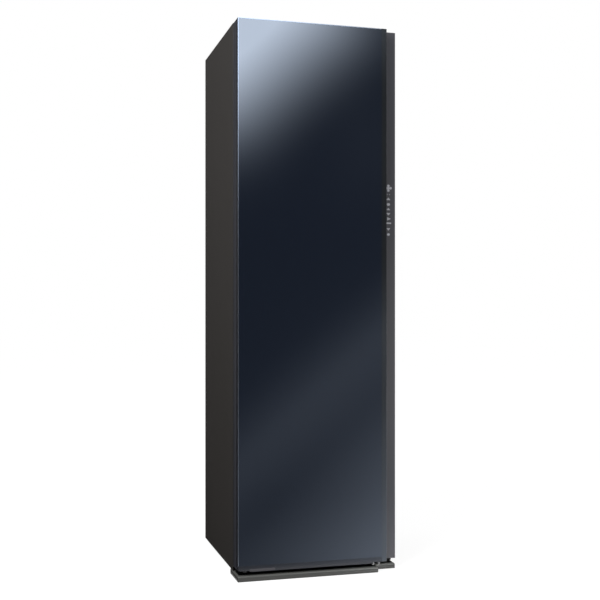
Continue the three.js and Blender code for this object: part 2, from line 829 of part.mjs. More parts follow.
// Machine space: steam generator, hose, nozzle and pump
const machines = new THREE.Group();
cabinet.add(machines);

const generatorX = -innerHalf + generatorLeft;
const generatorRight = generatorX + generatorWidth;
const generatorTop = onBaseZ + generatorHeight;
const spigotX = generatorRight - spigotInset;
const spigotY = generatorY + generatorDepth / 2;
const spigotTop = generatorTop + spigotHeight;

function steamGenerator() {
  const vessel = block(generatorX, generatorRight, generatorY, generatorY + generatorDepth, onBaseZ,
    generatorTop);
  return joined(vessel, rod(spigotX, spigotY, generatorTop - overrun, spigotTop, spigotRadius));
}

function steamHose() {
  const { x, y } = nozzlePlace();
  const z0 = spigotTop + seat;
  const z1 = floorUnderZ - nozzleStemLength - seat;
  const points = [
    new THREE.Vector3(spigotX, spigotY, z0),
    new THREE.Vector3(spigotX, spigotY, z0 + hoseStraight),
    new THREE.Vector3(x, y, z1 - hoseStraight),
    new THREE.Vector3(x, y, z1),
  ];
  return tubeAlong(points, spigotRadius, roundFacets);
}

function steamNozzle() {
  const flangeZ = chamberFloorTop + seat;
  const { x, y } = nozzlePlace();
  const nozzle = turned([
    [0, floorUnderZ - nozzleStemLength],
    [nozzleStem, floorUnderZ - nozzleStemLength],
    [nozzleStem, flangeZ],
    [nozzleRadius, flangeZ],
    [nozzleRadius, flangeZ + nozzleFlange],
    [nozzleDome, flangeZ + nozzleHeight],
    [0, flangeZ + nozzleFlange + nozzleHeight],
  ]);
  return nozzle.translate(x, y, 0);
}

function waterPump() {
  const x = generatorRight + pumpSpacing + pumpRadius;
  const y = generatorY + pumpRadius;
  const z = onBaseZ + pumpSpigotRise;
  const body = rod(x, y, onBaseZ, onBaseZ + pumpHeight, pumpRadius);
  const outlet = block(generatorRight + seat, x, y - pumpSpigot, y + pumpSpigot, z - pumpSpigot,
    z + pumpSpigot);
  const inlet = block(x - pumpSpigot, x + pumpSpigot, machineFrontY + seat, y, z - pumpSpigot,
    z + pumpSpigot);
  return joined(body, outlet, inlet);
}

piece(machines, 'steam_generator', steamGenerator(), casePlastic);
piece(machines, 'steam_hose', steamHose(), sealRubber);
piece(chamber, 'steam_nozzle', steamNozzle(), darkPlastic);
piece(machines, 'water_pump', waterPump(), motorBlack);

// Heat pump: compressor, evaporator and condenser, and the tube between them
const compressorTop = compressorHeight + compressorDome;

function coilPlace(row) {
  const y0 = machineFrontY + coilGap + row * (coilDepth + coilGap);
  return { x0: coilX0, x1: coilX1, y0, y1: y0 + coilDepth };
}

// A comb of fins on a base bar, with a thicker post at each end
function coil(row) {
  const { x0, x1, y0, y1 } = coilPlace(row);
  const z0 = onBaseZ;
  const z1 = z0 + coilHeight;
  const pitch = (x1 - x0 - 2 * coilPost) / coilFins;
  const points = [[x0, z0], [x1, z0], [x1, z1], [x1 - coilPost, z1], [x1 - coilPost, z0 + coilBase]];
  for (let fin = coilFins - 1; fin > 0; fin -= 1) {
    const left = x0 + coilPost + fin * pitch - pitch * finShare / 2;
    const right = left + pitch * finShare;
    points.push([right, z0 + coilBase], [right, z1], [left, z1], [left, z0 + coilBase]);
  }
  points.push([x0 + coilPost, z0 + coilBase], [x0 + coilPost, z1], [x0, z1]);
  return frontToBack(polygon(points), y0, y1);
}

function refrigerantPipe() {
  const { x0, y0 } = coilPlace(1);
  const endX = x0 + coilPost / 2;
  const endY = y0 + coilDepth / 2;
  const startZ = onBaseZ + compressorTop + seat;
  const endZ = onBaseZ + coilHeight + seat;
  const runZ = startZ + pipeRise;
  const points = [
    new THREE.Vector3(compressorX, compressorY, startZ),
    new THREE.Vector3(compressorX, compressorY, startZ + pipeRise / 2),
    new THREE.Vector3((compressorX + endX) / 2, (compressorY + endY) / 2, runZ),
    new THREE.Vector3(endX, endY, startZ + pipeRise / 2),
    new THREE.Vector3(endX, endY, endZ),
  ];
  return tubeAlong(points, pipeRadius, fineFacets);
}

const compressor = piece(machines, 'compressor', turned([
  [0, 0],
  [compressorBase, 0],
  [compressorBase, compressorBasePlate],
  [compressorRadius, compressorBasePlate],
  [compressorRadius, compressorHeight],
  [compressorRadius * Math.SQRT1_2, compressorHeight + compressorDome * Math.SQRT1_2],
  [pipeRadius, compressorTop],
  [0, compressorTop],
]), motorBlack);
compressor.position.set(compressorX, compressorY, onBaseZ);
piece(machines, 'evaporator', coil(0), finMetal);
piece(machines, 'condenser', coil(1), finMetal);
piece(machines, 'refrigerant_pipe', refrigerantPipe(), copperTube);

// Blower drum about its own axis: closed at its foot, open at its inlet, with a mouth in its side wall
function blowerDrum() {
  const inner = drumRadius - drumWall;
  const mouthHalf = drumMouthWidth / 2;
  const hollow = rod(0, 0, drumWall, drumDepth - drumWall, inner, fineFacets);
  const inlet = rod(0, 0, drumDepth - drumWall - overrun, drumDepth + overrun, drumInlet, fineFacets);
  const mouth = block(-mouthHalf, mouthHalf, -drumRadius - overrun, -drumInlet,
    drumWall + drumMouthMargin, drumDepth - drumWall - drumMouthMargin);
  return cut(rod(0, 0, 0, drumDepth, drumRadius, fineFacets), hollow, inlet, mouth);
}

// Blower wheel about its own axis: hub, disc, blades and rim
function blowerWheel() {
  const radius = drumRadius - drumWall - impellerGap;
  const height = drumDepth - 2 * drumWall - 2 * hubLift;
  const bore = shaftRadius + turnGap;
  const rim = cut(rod(0, 0, height - impellerRing, height, radius, fineFacets),
    rod(0, 0, -overrun, height + overrun, radius - bladeDepth, fineFacets));
  const disc = rod(0, 0, 0, impellerDisc, radius, fineFacets);
  const hub = rod(0, 0, 0, height, bore + hubWall, smallFacets);
  const blades = Array.from({ length: bladeCount }, (_, index) => {
    const blade = block(radius - bladeDepth, radius - bladeThickness, -bladeThickness / 2,
      bladeThickness / 2, impellerDisc / 2, height - impellerRing / 2);
    return blade.rotateZ(index * 2 * Math.PI / bladeCount);
  });
  const boreCut = rod(0, 0, -overrun, height + overrun, bore, smallFacets);
  return cut(joined(disc, hub, rim, ...blades), boreCut);
}

const fanFootY = backInnerY - fanRearGap;
const fanCentreZ = onBaseZ + fanCentreRise;

// The drum stands on its edge, with its mouth up and a foot block on the base plate
function circulationHousing() {
  const half = drumStand / 2;
  const hollow = rod(0, 0, -overrun, drumDepth + overrun, drumRadius - drumWall / 2, fineFacets);
  const foot = cut(block(-half, half, -fanCentreRise, 0, 0, drumDepth), hollow);
  const shaftCut = rod(0, 0, -overrun, drumWall + overrun, shaftRadius + shaftHole, smallFacets);
  return cut(joined(blowerDrum().rotateZ(Math.PI), foot), shaftCut);
}

const fan = new THREE.Group();
fan.rotation.x = Math.PI / 2;
fan.position.set(fanCentreX, fanFootY, fanCentreZ);
machines.add(fan);
piece(fan, 'circulation_fan_housing', circulationHousing(), darkPlastic);
const fanWheel = piece(fan, 'circulation_impeller', blowerWheel(), darkPlastic);
fanWheel.position.z = drumWall + hubLift;
piece(fan, 'circulation_fan_motor', turned([
  [0, -seat - motorLength],
  [motorRadius, -seat - motorLength],
  [motorRadius, -seat],
  [shaftRadius, -seat],
  [shaftRadius, drumDepth - drumWall - hubLift],
  [0, drumDepth - drumWall - hubLift],
]), motorBlack);

// Top blower: the same drum on the ceiling panel, with the wheel on a fixed pin
function topHousing() {
  const pin = rod(0, 0, drumWall / 2, drumDepth - drumWall - hubLift, shaftRadius, smallFacets);
  return joined(blowerDrum(), pin);
}

const topBlower = new THREE.Group();
topBlower.position.set(0, blowerY, chamberCeiling + ceilingThickness + seat);
cabinet.add(topBlower);
piece(topBlower, 'top_blower_housing', topHousing(), darkPlastic);
const topWheel = piece(topBlower, 'top_impeller', blowerWheel(), darkPlastic);
topWheel.position.z = drumWall + hubLift;

// Electrics: control box, and the power inlet set in the back panel behind it
const boxBackY = rearY - 2 * seat - socketDepth - socketWall;

function powerInlet() {
  const { x, z } = inletCentre();
  const half = inletWidth / 2;
  const rise = inletHeight / 2;
  const faceY = rearY - seat;
  const body = block(x - half, x + half, boxBackY + seat, faceY, z - rise, z + rise);
  const socket = block(x - socketWidth / 2, x + socketWidth / 2, faceY - socketDepth, faceY + overrun,
    z - socketHeight / 2, z + socketHeight / 2);
  return cut(body, socket);
}

piece(machines, 'control_box', block(boxX0, boxX1, boxBackY - boxDepth, boxBackY, onBaseZ,
  onBaseZ + boxHeight), casePlastic);
piece(machines, 'power_inlet', powerInlet(), motorBlack);

// Door body: a deep shell with the mirror glass in front and the dished liner behind
const door = new THREE.Group();
cabinet.add(door);

function shellOutline() {
  const left = -halfWidth;
  const flangeBackY = frontY + trimFlange + seat;
  const shape = new THREE.Shape();
  shape.moveTo(shellLeftX, shellFrontY);
  shape.lineTo(channelX, shellFrontY);
  shape.lineTo(channelX, shellStripY);
  shape.lineTo(halfWidth, shellStripY);
  shape.absarc(halfWidth - doorCorner, doorRearY - doorCorner, doorCorner, 0, Math.PI / 2);
  shape.absarc(left + doorCorner, doorRearY - doorCorner, doorCorner, Math.PI / 2, Math.PI);
  shape.lineTo(left, flangeBackY);
  shape.lineTo(shellLeftX, flangeBackY);
  return shape;
}

function doorShell() {
  const cavity = polygon([
    [cavityLeftX, shellFrontY + shellWall],
    [channelX - shellWall, shellFrontY + shellWall],
    [channelX - shellWall, shellStripY + shellWall],
    [cavityRightX, shellStripY + shellWall],
    [cavityRightX, doorRearY + overrun],
    [cavityLeftX, doorRearY + overrun],
  ]);
  const body = upright(shellOutline(), doorBottom, doorTopZ);
  const hollow = upright(cavity, doorBottom + shellWall, doorTopZ - shellWall);
  const holeRadius = pinRadius + turnGap + bushWall + seat;
  const lowerHole = rod(hingeX, hingeY, doorBottom - overrun, doorBottom + shellWall + overrun, holeRadius);
  const upperHole = rod(hingeX, hingeY, doorTopZ - shellWall - overrun, doorTopZ + overrun, holeRadius);
  return cut(body, hollow, lowerHole, upperHole);
}

function doorLiner() {
  const rim = block(cavityLeftX + seat, cavityRightX - seat, doorRearY - linerRim, doorRearY,
    doorBottom + shellWall + seat, doorTopZ - shellWall - seat);
  const pocketBottomZ = bayFloorTop - pocketBottomMargin;
  const pocketTopZ = chamberCeiling - pocketTopMargin;
  const wall = linerWall;
  const tub = block(pocketLeftX - wall, pocketRightX + wall, pocketBackY - wall, doorRearY - linerRim / 2,
    pocketBottomZ - wall, pocketTopZ + wall);
  const pocket = block(pocketLeftX, pocketRightX, pocketBackY, doorRearY + overrun, pocketBottomZ,
    pocketTopZ);
  return cut(joined(rim, tub), pocket);
}

function doorGasket() {
  const y0 = doorRearY + seat;
  const y1 = bodyFrontY - seat;
  const outerHalf = gasketInnerHalf + gasketWidth;
  const innerTopZ = chamberCeiling + gasketTopOffset;
  const innerBottomZ = bayFloorTop - gasketBottomOffset;
  const ring = wideBlock(outerHalf, y0, y1, innerBottomZ - gasketWidth, innerTopZ + gasketWidth);
  const inside = wideBlock(gasketInnerHalf, y0 - overrun, y1 + overrun, innerBottomZ, innerTopZ);
  return cut(ring, inside);
}

// Trim frame: a flanged strip at the left edge, a thin strip on top and the bezel under the glass
function glassFrame() {
  const left = -halfWidth;
  const backY = frontY + glassThickness;
  const right = glassRightX;
  const sideStrip = block(left, left + trimWidth, frontY, backY, doorBottom, doorTopZ);
  const sideFlange = block(left, left + trimThickness, frontY, frontY + trimFlange, doorBottom, doorTopZ);
  const topStrip = block(left, right, frontY, backY, doorTopZ - trimWidth, doorTopZ);
  const bezel = block(left, right, frontY, backY, doorBottom, doorBottom + bezelHeight);
  const outline = new THREE.Shape();
  outline.absarc(left + trimCorner, doorBottom + trimCorner, trimCorner, Math.PI, 3 * Math.PI / 2);
  outline.lineTo(right + overrun, doorBottom);
  outline.lineTo(right + overrun, doorTopZ);
  outline.lineTo(left, doorTopZ);
  const limit = frontToBack(outline, frontY - overrun, frontY + trimFlange + overrun);
  return trimmed(joined(sideStrip, sideFlange, topStrip, bezel), limit);
}

// Grip rail: the edge profile beside the glass, whose lip and leg make the finger channel
function gripRail() {
  const faceLeftX = glassRightX + seat;
  const faceBackY = frontY + railThickness;
  const legLeftX = channelX + seat;
  const profile = polygon([
    [faceLeftX, frontY],
    [faceRightX, frontY],
    [faceRightX, faceBackY + railLipDepth],
    [faceRightX - railLip, faceBackY + railLipDepth],
    [faceRightX - railLip, faceBackY],
    [legLeftX + railLeg, faceBackY],
    [legLeftX + railLeg, stripFrontY - seat],
    [legLeftX, stripFrontY - seat],
    [legLeftX, shellFrontY],
    [faceLeftX, shellFrontY],
  ]);
  return upright(profile, doorBottom, doorTopZ);
}

// Hinge bush: a tube in the shell's end wall, with its flange against the bracket or under the wall
const bushInner = pinRadius + turnGap;
const bushOuter = bushInner + bushWall;

function bush(z0, z1, flangeZ0, flangeZ1) {
  const tube = turned([
    [bushInner, z0], [bushOuter, z0], [bushOuter, z1], [bushInner, z1], [bushInner, z0],
  ], smallFacets);
  const flange = turned([
    [bushInner, flangeZ0],
    [bushOuter + bushFlange, flangeZ0],
    [bushOuter + bushFlange, flangeZ1],
    [bushInner, flangeZ1],
    [bushInner, flangeZ0],
  ], smallFacets);
  return joined(tube, flange).translate(hingeX, hingeY, 0);
}

const glassBottomZ = doorBottom + bezelHeight + seat;
const glassTopZ = doorTopZ - trimWidth - seat;
piece(door, 'door_glass', block(-halfWidth + trimWidth + seat, glassRightX, frontY,
  frontY + glassThickness, glassBottomZ, glassTopZ), mirrorGlass);
piece(door, 'glass_frame', glassFrame(), brightTrim);
piece(door, 'grip_rail', gripRail(), railMetal);
piece(door, 'control_strip', block(channelX + seat, halfWidth, stripFrontY, stripFrontY + stripThickness,
  doorBottom, doorTopZ), stripSatin);
piece(door, 'door_shell', doorShell(), shellPlastic);
piece(door, 'door_liner', doorLiner(), linerPlastic);
piece(door, 'door_gasket', doorGasket(), sealRubber);
const lowerFlangeZ = bracketTopZ + seat;
piece(door, 'hinge_bush_bottom', bush(lowerFlangeZ, doorBottom + bushLength, lowerFlangeZ,
  doorBottom - seat), brightTrim);
const upperFlangeZ = doorTopZ - shellWall - seat;
piece(door, 'hinge_bush_top', bush(doorTopZ - bushLength, doorTopZ, upperFlangeZ - bushFlangeHeight,
  upperFlangeZ), brightTrim);

export default cabinet;
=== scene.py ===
# Clothes care steam cabinet: how its pieces look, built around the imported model.
# Metres, +Z up, the door towards -Y. Sizes come from the CAD nodes wherever a piece meets them.
import math

import bmesh
import bpy
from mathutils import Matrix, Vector


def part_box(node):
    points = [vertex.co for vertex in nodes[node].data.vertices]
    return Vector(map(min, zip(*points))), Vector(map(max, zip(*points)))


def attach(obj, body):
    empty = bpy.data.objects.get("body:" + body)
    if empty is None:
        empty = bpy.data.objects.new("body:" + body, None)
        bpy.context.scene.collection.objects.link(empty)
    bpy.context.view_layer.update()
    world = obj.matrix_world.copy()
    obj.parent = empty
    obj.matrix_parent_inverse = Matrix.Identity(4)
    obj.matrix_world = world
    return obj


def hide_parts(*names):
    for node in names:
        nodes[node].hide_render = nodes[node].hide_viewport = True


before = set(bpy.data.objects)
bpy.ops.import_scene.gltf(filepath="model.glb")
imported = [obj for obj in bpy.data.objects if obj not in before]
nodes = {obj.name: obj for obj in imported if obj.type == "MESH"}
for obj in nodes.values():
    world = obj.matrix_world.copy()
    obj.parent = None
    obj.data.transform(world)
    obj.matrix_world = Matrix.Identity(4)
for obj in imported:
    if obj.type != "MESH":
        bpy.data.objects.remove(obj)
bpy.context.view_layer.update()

# Camera: it stands at the left front of the cabinet, below the middle of its height, and looks level, so
# that upright edges stay upright. A small shift sets the cabinet in the frame.
camera_place = (-1.03, -3.737, 0.93)
camera_turn = (math.pi / 2, 0, math.radians(-15.604))
bpy.ops.object.select_all(action="DESELECT")
bpy.ops.object.camera_add(location=camera_place, rotation=camera_turn)
camera = bpy.context.object
camera.name = "photo_camera"
camera.data.lens = 60.56
camera.data.shift_y = 0.0231
bpy.context.scene.camera = camera
bpy.context.scene.view_settings.view_transform = "Standard"


# Studio: a pale floor under an even white sky, a large soft lamp at the upper left, a smaller one low at
# the right and a tiny one at the plinth's right end. Cards seen only in reflections stand before the door,
# whose glass shows soft lights and a band on them, and behind and beside the left side, which they darken.
class Value:
    """A socket of a node tree. Arithmetic on it adds Math nodes."""

    def __init__(self, tree, socket):
        self.tree = tree
        self.socket = socket

    def math(self, operation, *values):
        return self.tree.node("ShaderNodeMath", {"operation": operation}, dict(enumerate(values)))

    def __add__(self, other):
        return self.math("ADD", self, other)

    def __sub__(self, other):
        return self.math("SUBTRACT", self, other)

    def __rsub__(self, other):
        return self.math("SUBTRACT", other, self)

    def __mul__(self, other):
        return self.math("MULTIPLY", self, other)

    def __truediv__(self, other):
        return self.math("DIVIDE", self, other)

    def __pow__(self, other):
        return self.math("POWER", self, other)

    __radd__ = __add__
    __rmul__ = __mul__


class Tree:
    """The nodes of a material or of the world."""

    def __init__(self, owner):
        owner.use_nodes = True
        self.nodes = owner.node_tree.nodes
        self.links = owner.node_tree.links

    def node(self, kind, settings=None, sockets=None, output=0):
        made = self.nodes.new(kind)
        for name, setting in (settings or {}).items():
            setattr(made, name, setting)
        for name, value in (sockets or {}).items():
            self.feed(made.inputs[name], value)
        return Value(self, made.outputs[output])

    def feed(self, socket, value):
        if isinstance(value, Value):
            self.links.new(value.socket, socket)
        else:
            socket.default_value = value

    def rise(self, value, low, high, start=0.0, end=1.0):
        """Goes smoothly from start to end while value goes from low to high."""
        return self.node("ShaderNodeMapRange", {"interpolation_type": "SMOOTHSTEP"}, {
            "Value": value, "From Min": low, "From Max": high, "To Min": start, "To Max": end})

    def tint(self, share, first, second):
        """A colour between the first and the second."""
        return self.node("ShaderNodeMix", {"data_type": "RGBA"}, {0: share, 6: first, 7: second}, 2)

    def seen_rays(self):
        """1 for rays from the camera, a reflection or glass, and 0 for the light on the object."""
        camera_rays = self.node("ShaderNodeLightPath", output="Is Camera Ray")
        mirrored = self.node("ShaderNodeLightPath", output="Is Glossy Ray")
        through = self.node("ShaderNodeLightPath", output="Is Transmission Ray")
        return camera_rays.math("MAXIMUM", camera_rays, mirrored.math("MAXIMUM", mirrored, through))


class Finish(Tree):
    """A material around one Principled shader, with patterns by its piece's own coordinates."""

    def __init__(self, name, fixed=None):
        self.material = bpy.data.materials.new(name)
        super().__init__(self.material)
        self.shader = self.nodes["Principled BSDF"]
        self.place = self.node("ShaderNodeTexCoord", output="Object")
        self.show(fixed or {})

    def show(self, sockets):
        for name, value in sockets.items():
            self.feed(self.shader.inputs[name], value)

    def surface(self, shader):
        self.links.new(shader.socket, self.nodes["Material Output"].inputs["Surface"])

    def along(self, axis):
        return self.node("ShaderNodeSeparateXYZ", {}, {"Vector": self.place}, axis)

    def noise(self, size, detail=2.0, stretch=(1, 1, 1)):
        """Soft noise whose spots are about size metres, and longer where stretch is above 1."""
        scale = [1 / (size * share) for share in stretch]
        place = self.node("ShaderNodeMapping", {}, {"Vector": self.place, "Scale": scale})
        return self.node("ShaderNodeTexNoise", {}, {"Vector": place, "Scale": 1, "Detail": detail})

    def relief(self, height, depth):
        """Bumps as deep as depth, in metres, where height goes from 0 to 1."""
        bump = self.node("ShaderNodeBump", {}, {"Height": height, "Distance": depth, "Strength": 1})
        self.show({"Normal": bump})


def only(*pieces):
    """Selects these pieces alone, with the first one active."""
    bpy.ops.object.select_all(action="DESELECT")
    for piece in pieces:
        piece.select_set(True)
    bpy.context.view_layer.objects.active = pieces[0]


def settled(name):
    """Names the new piece, and moves its place, turn and size into its mesh."""
    piece = bpy.context.object
    piece.name = name
    piece.data.name = name
    bpy.ops.object.transform_apply(location=True, rotation=True, scale=True)
    return piece


def staged(name, finish, size=(1, 1, 1)):
    """Sizes and names a part of the studio, and gives it its material."""
    bpy.context.object.scale = size
    piece = settled(name)
    piece.data.materials.append(finish.material)
    return piece


sky = Tree(bpy.data.worlds.new("studio_sky"))
bpy.context.scene.world = bpy.data.worlds["studio_sky"]
sky_light = 0.5
floor_grey = 0.36
floor_glow = 0.82
sky.feed(sky.nodes["Background"].inputs["Color"], (1, 1, 1, 1))
sky.feed(sky.nodes["Background"].inputs["Strength"], sky_light + (1 - sky_light) * sky.seen_rays())

floor_finish = Finish("floor_paper")
paper = floor_finish.node("ShaderNodeBsdfDiffuse", {}, {"Color": (floor_grey, floor_grey, floor_grey, 1)})
glow = floor_finish.node("ShaderNodeEmission", {}, {
    "Color": (1, 1, 1, 1), "Strength": floor_glow * floor_finish.seen_rays()})
floor_finish.surface(floor_finish.node("ShaderNodeAddShader", {}, {0: paper, 1: glow}))
bpy.ops.object.select_all(action="DESELECT")
bpy.ops.mesh.primitive_plane_add(size=60)
staged("studio_floor", floor_finish)

card_finish = Finish("front_card")
across = card_finish.along("X")
up = card_finish.along("Z")


def from_middle(x, z, wide, high):
    """The square of how far a place on the card is from a light's middle, 1 at its rim."""
    return ((across - x) / wide) ** 2 + ((up - z) / high) ** 2


def fading(distance):
    """1 at a light's middle, and soft towards 0 further out."""
    return distance.math("EXPONENT", -1 * distance)


# The card's lights: a round one at the top left, a band that falls to the right, a round one low at the
# right with a strip at the floor, and small soft ones, and a dimmer one, that shape the first one's rim.
brightest = 3.4
top_glow = 6.07 * fading(from_middle(-0.8, 3.139, 1.414, 1.327) ** 3)
top_light = top_glow.math("MINIMUM", top_glow, brightest)
slope = 0.719 * across - up
band_light = 0.189 * card_finish.rise(slope, -0.795, -0.251) - 0.217 * card_finish.rise(slope, -0.561, -0.25)
low_light = 3.08 * fading(from_middle(1.982, -1.5, 1.966, 1.966) ** 2)
floor_light = 0.05 * card_finish.rise(up, 0.25, 0)
rim_lights = sum(strength * fading(from_middle(*place)) for strength, place in (
    (0.34, (-0.12, 1.98, 0.2, 0.28)),
    (0.3, (0.48, 2.45, 0.27, 0.2)),
    (0.076, (0.411, 1.855, 0.306, 0.353)),
    (-0.141, (0.323, 2.068, 0.257, 0.399))))
card_glow = 0.012
card_finish.surface(card_finish.node("ShaderNodeEmission", {}, {
    "Color": (0.87, 1, 1.2, 1),
    "Strength": card_glow + top_light + band_light + low_light + floor_light + rim_lights}))
side_card_finish = Finish("side_card")
side_glow = side_card_finish.rise(side_card_finish.along("Z"), 0, 2.5, 0.01, 0.06)
side_card_finish.surface(side_card_finish.node("ShaderNodeEmission", {}, {
    "Color": (1, 0.97, 0.95, 1), "Strength": side_glow}))
card_width = 8
card_height = 3.0
card_foot = -0.45
card_head = -2.2
card_length = math.hypot(card_height, card_head - card_foot)
card_gap = 0.002
bpy.ops.mesh.primitive_plane_add(
    size=1, location=(0, (card_foot + card_head) / 2, card_height / 2 + card_gap),
    rotation=(math.atan2(card_height, card_head - card_foot), 0, 0))
front_card = staged("front_card", card_finish, (card_width, card_length, 1))
bpy.ops.mesh.primitive_plane_add(size=4, location=(-2.3, 3.2, 2.0), rotation=(math.pi / 2, 0, 0))
side_card = staged("side_card", side_card_finish)
bpy.ops.mesh.primitive_plane_add(size=1, location=(-1.65, 1.45, 0.003))
floor_card = staged("floor_card", side_card_finish, (2.7, 3.6, 1))
for card in (front_card, side_card, floor_card):
    card.visible_camera = False
    card.visible_diffuse = False
    card.visible_transmission = False
    card.visible_volume_scatter = False
    card.visible_shadow = False

for lamp_name, place, aimed, size, power, spread in (
        ("key_lamp", (-2.9, -2.5, 3.2), (0, 0, 1.0), 2.2, 125.0, 180),
        ("fill_lamp", (1.7, -1.9, 0.5), (0, 0, 1.0), 0.9, 20.0, 180),
        ("low_lamp", (0.75, -1.0, 0.04), (0.25, -0.3, 0.0), 0.12, 0.14, 40)):
    aim = Vector(aimed) - Vector(place)
    bpy.ops.object.select_all(action="DESELECT")
    bpy.ops.object.light_add(
        type="AREA", location=place, rotation=aim.to_track_quat("-Z", "Y").to_euler())
    lamp = bpy.context.object
    lamp.name = lamp_name
    lamp.data.size = size
    lamp.data.energy = power
    lamp.data.spread = math.radians(spread)


def slab(name, low, high):
    """A block between two corners."""
    middle = [(a + b) / 2 for a, b in zip(low, high)]
    bpy.ops.object.select_all(action="DESELECT")
    bpy.ops.mesh.primitive_cube_add(
        size=1, location=middle, scale=[b - a for a, b in zip(low, high)])
    return settled(name)


def edit(piece):
    """Opens a piece in edit mode with nothing selected."""
    only(piece)
    bpy.ops.object.mode_set(mode="EDIT")
    bpy.ops.mesh.select_all(action="DESELECT")


def done():
    bpy.ops.object.mode_set(mode="OBJECT")


def choose_faces(piece, wanted):
    """In edit mode, selects the faces whose middle and normal are wanted."""
    bpy.ops.mesh.select_mode(type="FACE")
    bpy.ops.mesh.select_all(action="DESELECT")
    mesh = bmesh.from_edit_mesh(piece.data)
    for face in mesh.faces:
        face.select_set(wanted(face.calc_center_median(), face.normal))
    bmesh.update_edit_mesh(piece.data)


def choose_edges(piece, wanted):
    """In edit mode, selects the edges whose two ends are wanted."""
    bpy.ops.mesh.select_mode(type="EDGE")
    bpy.ops.mesh.select_all(action="DESELECT")
    mesh = bmesh.from_edit_mesh(piece.data)
    for edge in mesh.edges:
        edge.select_set(wanted(*(corner.co for corner in edge.verts)))
    bmesh.update_edit_mesh(piece.data)


def rounded(piece, width, segments, wanted):
    """Rounds only the edges whose two ends are wanted."""
    only(piece)
    bpy.ops.object.shade_smooth_by_angle(angle=math.radians(30))
    edit(piece)
    choose_edges(piece, wanted)
    bpy.ops.mesh.bevel(offset=width, segments=segments, harden_normals=True)
    done()
    return piece


def softened(piece, width, segments=2, angle=30):
    """Rounds every edge that is sharper than the angle, and shades the piece smooth."""
    only(piece)
    bpy.ops.object.shade_smooth_by_angle(angle=math.radians(angle))
    bevel = piece.modifiers.new("rounding", "BEVEL")
    bevel.width = width
    bevel.segments = segments
    bevel.limit_method = "ANGLE"
    bevel.angle_limit = math.radians(angle)
    bevel.harden_normals = True
    bpy.ops.object.modifier_apply(modifier=bevel.name)
    return piece


def traced(name, node):
    """A copy of a CAD node's mesh, with its corners merged and its flat faces made whole."""
    piece = bpy.data.objects.new(name, nodes[node].data.copy())
    piece.data.name = name
    bpy.context.scene.collection.objects.link(piece)
    edit(piece)
    bpy.ops.mesh.select_all(action="SELECT")
    bpy.ops.mesh.remove_doubles(threshold=0.00001)
    bpy.ops.mesh.dissolve_limited(angle_limit=math.radians(0.5))
    done()
    return piece


def carved(piece, *cutters):
    """Takes the cutters' shapes out of a piece."""
    for cutter in cutters:
        only(piece)
        hole = piece.modifiers.new("hole", "BOOLEAN")
        hole.operation = "DIFFERENCE"
        hole.object = cutter
        bpy.ops.object.modifier_apply(modifier=hole.name)
        bpy.data.objects.remove(cutter)
    return piece


def repeated(piece, count, step):
    """A row of a piece's copies, step apart, in one mesh."""
    only(piece)
    row = piece.modifiers.new("row", "ARRAY")
    row.count = count
    row.use_relative_offset = False
    row.use_constant_offset = True
    row.constant_offset_displace = step
    bpy.ops.object.modifier_apply(modifier=row.name)
    return piece


def joined(name, *pieces):
    """Several loose shapes as one piece."""
    only(*pieces)
    if len(pieces) > 1:
        bpy.ops.object.join()
    return settled(name)


def copies_at(name, model, places):
    """Copies of a small model at several places, in one piece. The model itself goes."""
    made = []
    for place in places:
        only(model)
        bpy.ops.object.duplicate()
        bpy.ops.transform.translate(value=place)
        made.append(bpy.context.object)
    bpy.data.objects.remove(model)
    return joined(name, *made)


def fitted(piece, body, finish, *stands_for):
    """Gives a finished piece its material, the body that carries it and the CAD nodes it stands for."""
    piece.data.materials.clear()
    piece.data.materials.append(finish.material)
    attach(piece, body)
    if stands_for:
        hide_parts(*stands_for)
    return piece


def dressed(name, node, body, finish, width, segments=2):
    """A piece that keeps its CAD node's shape, with softened edges."""
    return fitted(softened(traced(name, node), width, segments), body, finish, node)


def tone(red, green, blue):
    """A colour sample from 0 to 255, on the shader's linear scale."""
    return (*(((part / 255 + 0.055) / 1.055) ** 2.4 for part in (red, green, blue)), 1)


def paint(name, first, second, roughness, metallic=0.0):
    """Sprayed paint on steel: two close shades in wide clouds, and a fine orange-peel skin."""
    finish = Finish(name, {"Metallic": metallic})
    clouds = finish.noise(0.4, 3)
    peel = finish.noise(0.0016, 2)
    finish.colour = finish.tint(clouds, first, second)
    finish.show({"Base Color": finish.colour,
                 "Roughness": finish.rise(peel, 0.2, 0.8, roughness - 0.04, roughness + 0.05)})
    finish.relief(peel, 0.00003)
    return finish


def galvanised(name, first, second, roughness):
    """Zinc-coated steel: crystal patches of several greys, with a fine rolled grain."""
    finish = Finish(name, {"Metallic": 0.85})
    crystals = finish.node("ShaderNodeTexVoronoi", {}, {"Vector": finish.place, "Scale": 190}, "Color")
    shade = finish.node("ShaderNodeSeparateColor", {}, {"Color": crystals}, 0)
    rolled = finish.noise(0.0012, 3, (1, 1, 14))
    finish.show({"Base Color": finish.tint(shade, first, second),
                 "Roughness": roughness + 0.12 * shade + 0.06 * rolled})
    finish.relief(rolled, 0.00001)
    return finish


graphite_paint = paint("graphite_paint", tone(47, 44, 42), tone(44, 41, 38), 0.5)
zinc_steel = galvanised("zinc_steel", tone(166, 170, 173), tone(148, 152, 156), 0.3)
screw_steel = galvanised("screw_steel", tone(190, 192, 194), tone(165, 168, 171), 0.25)

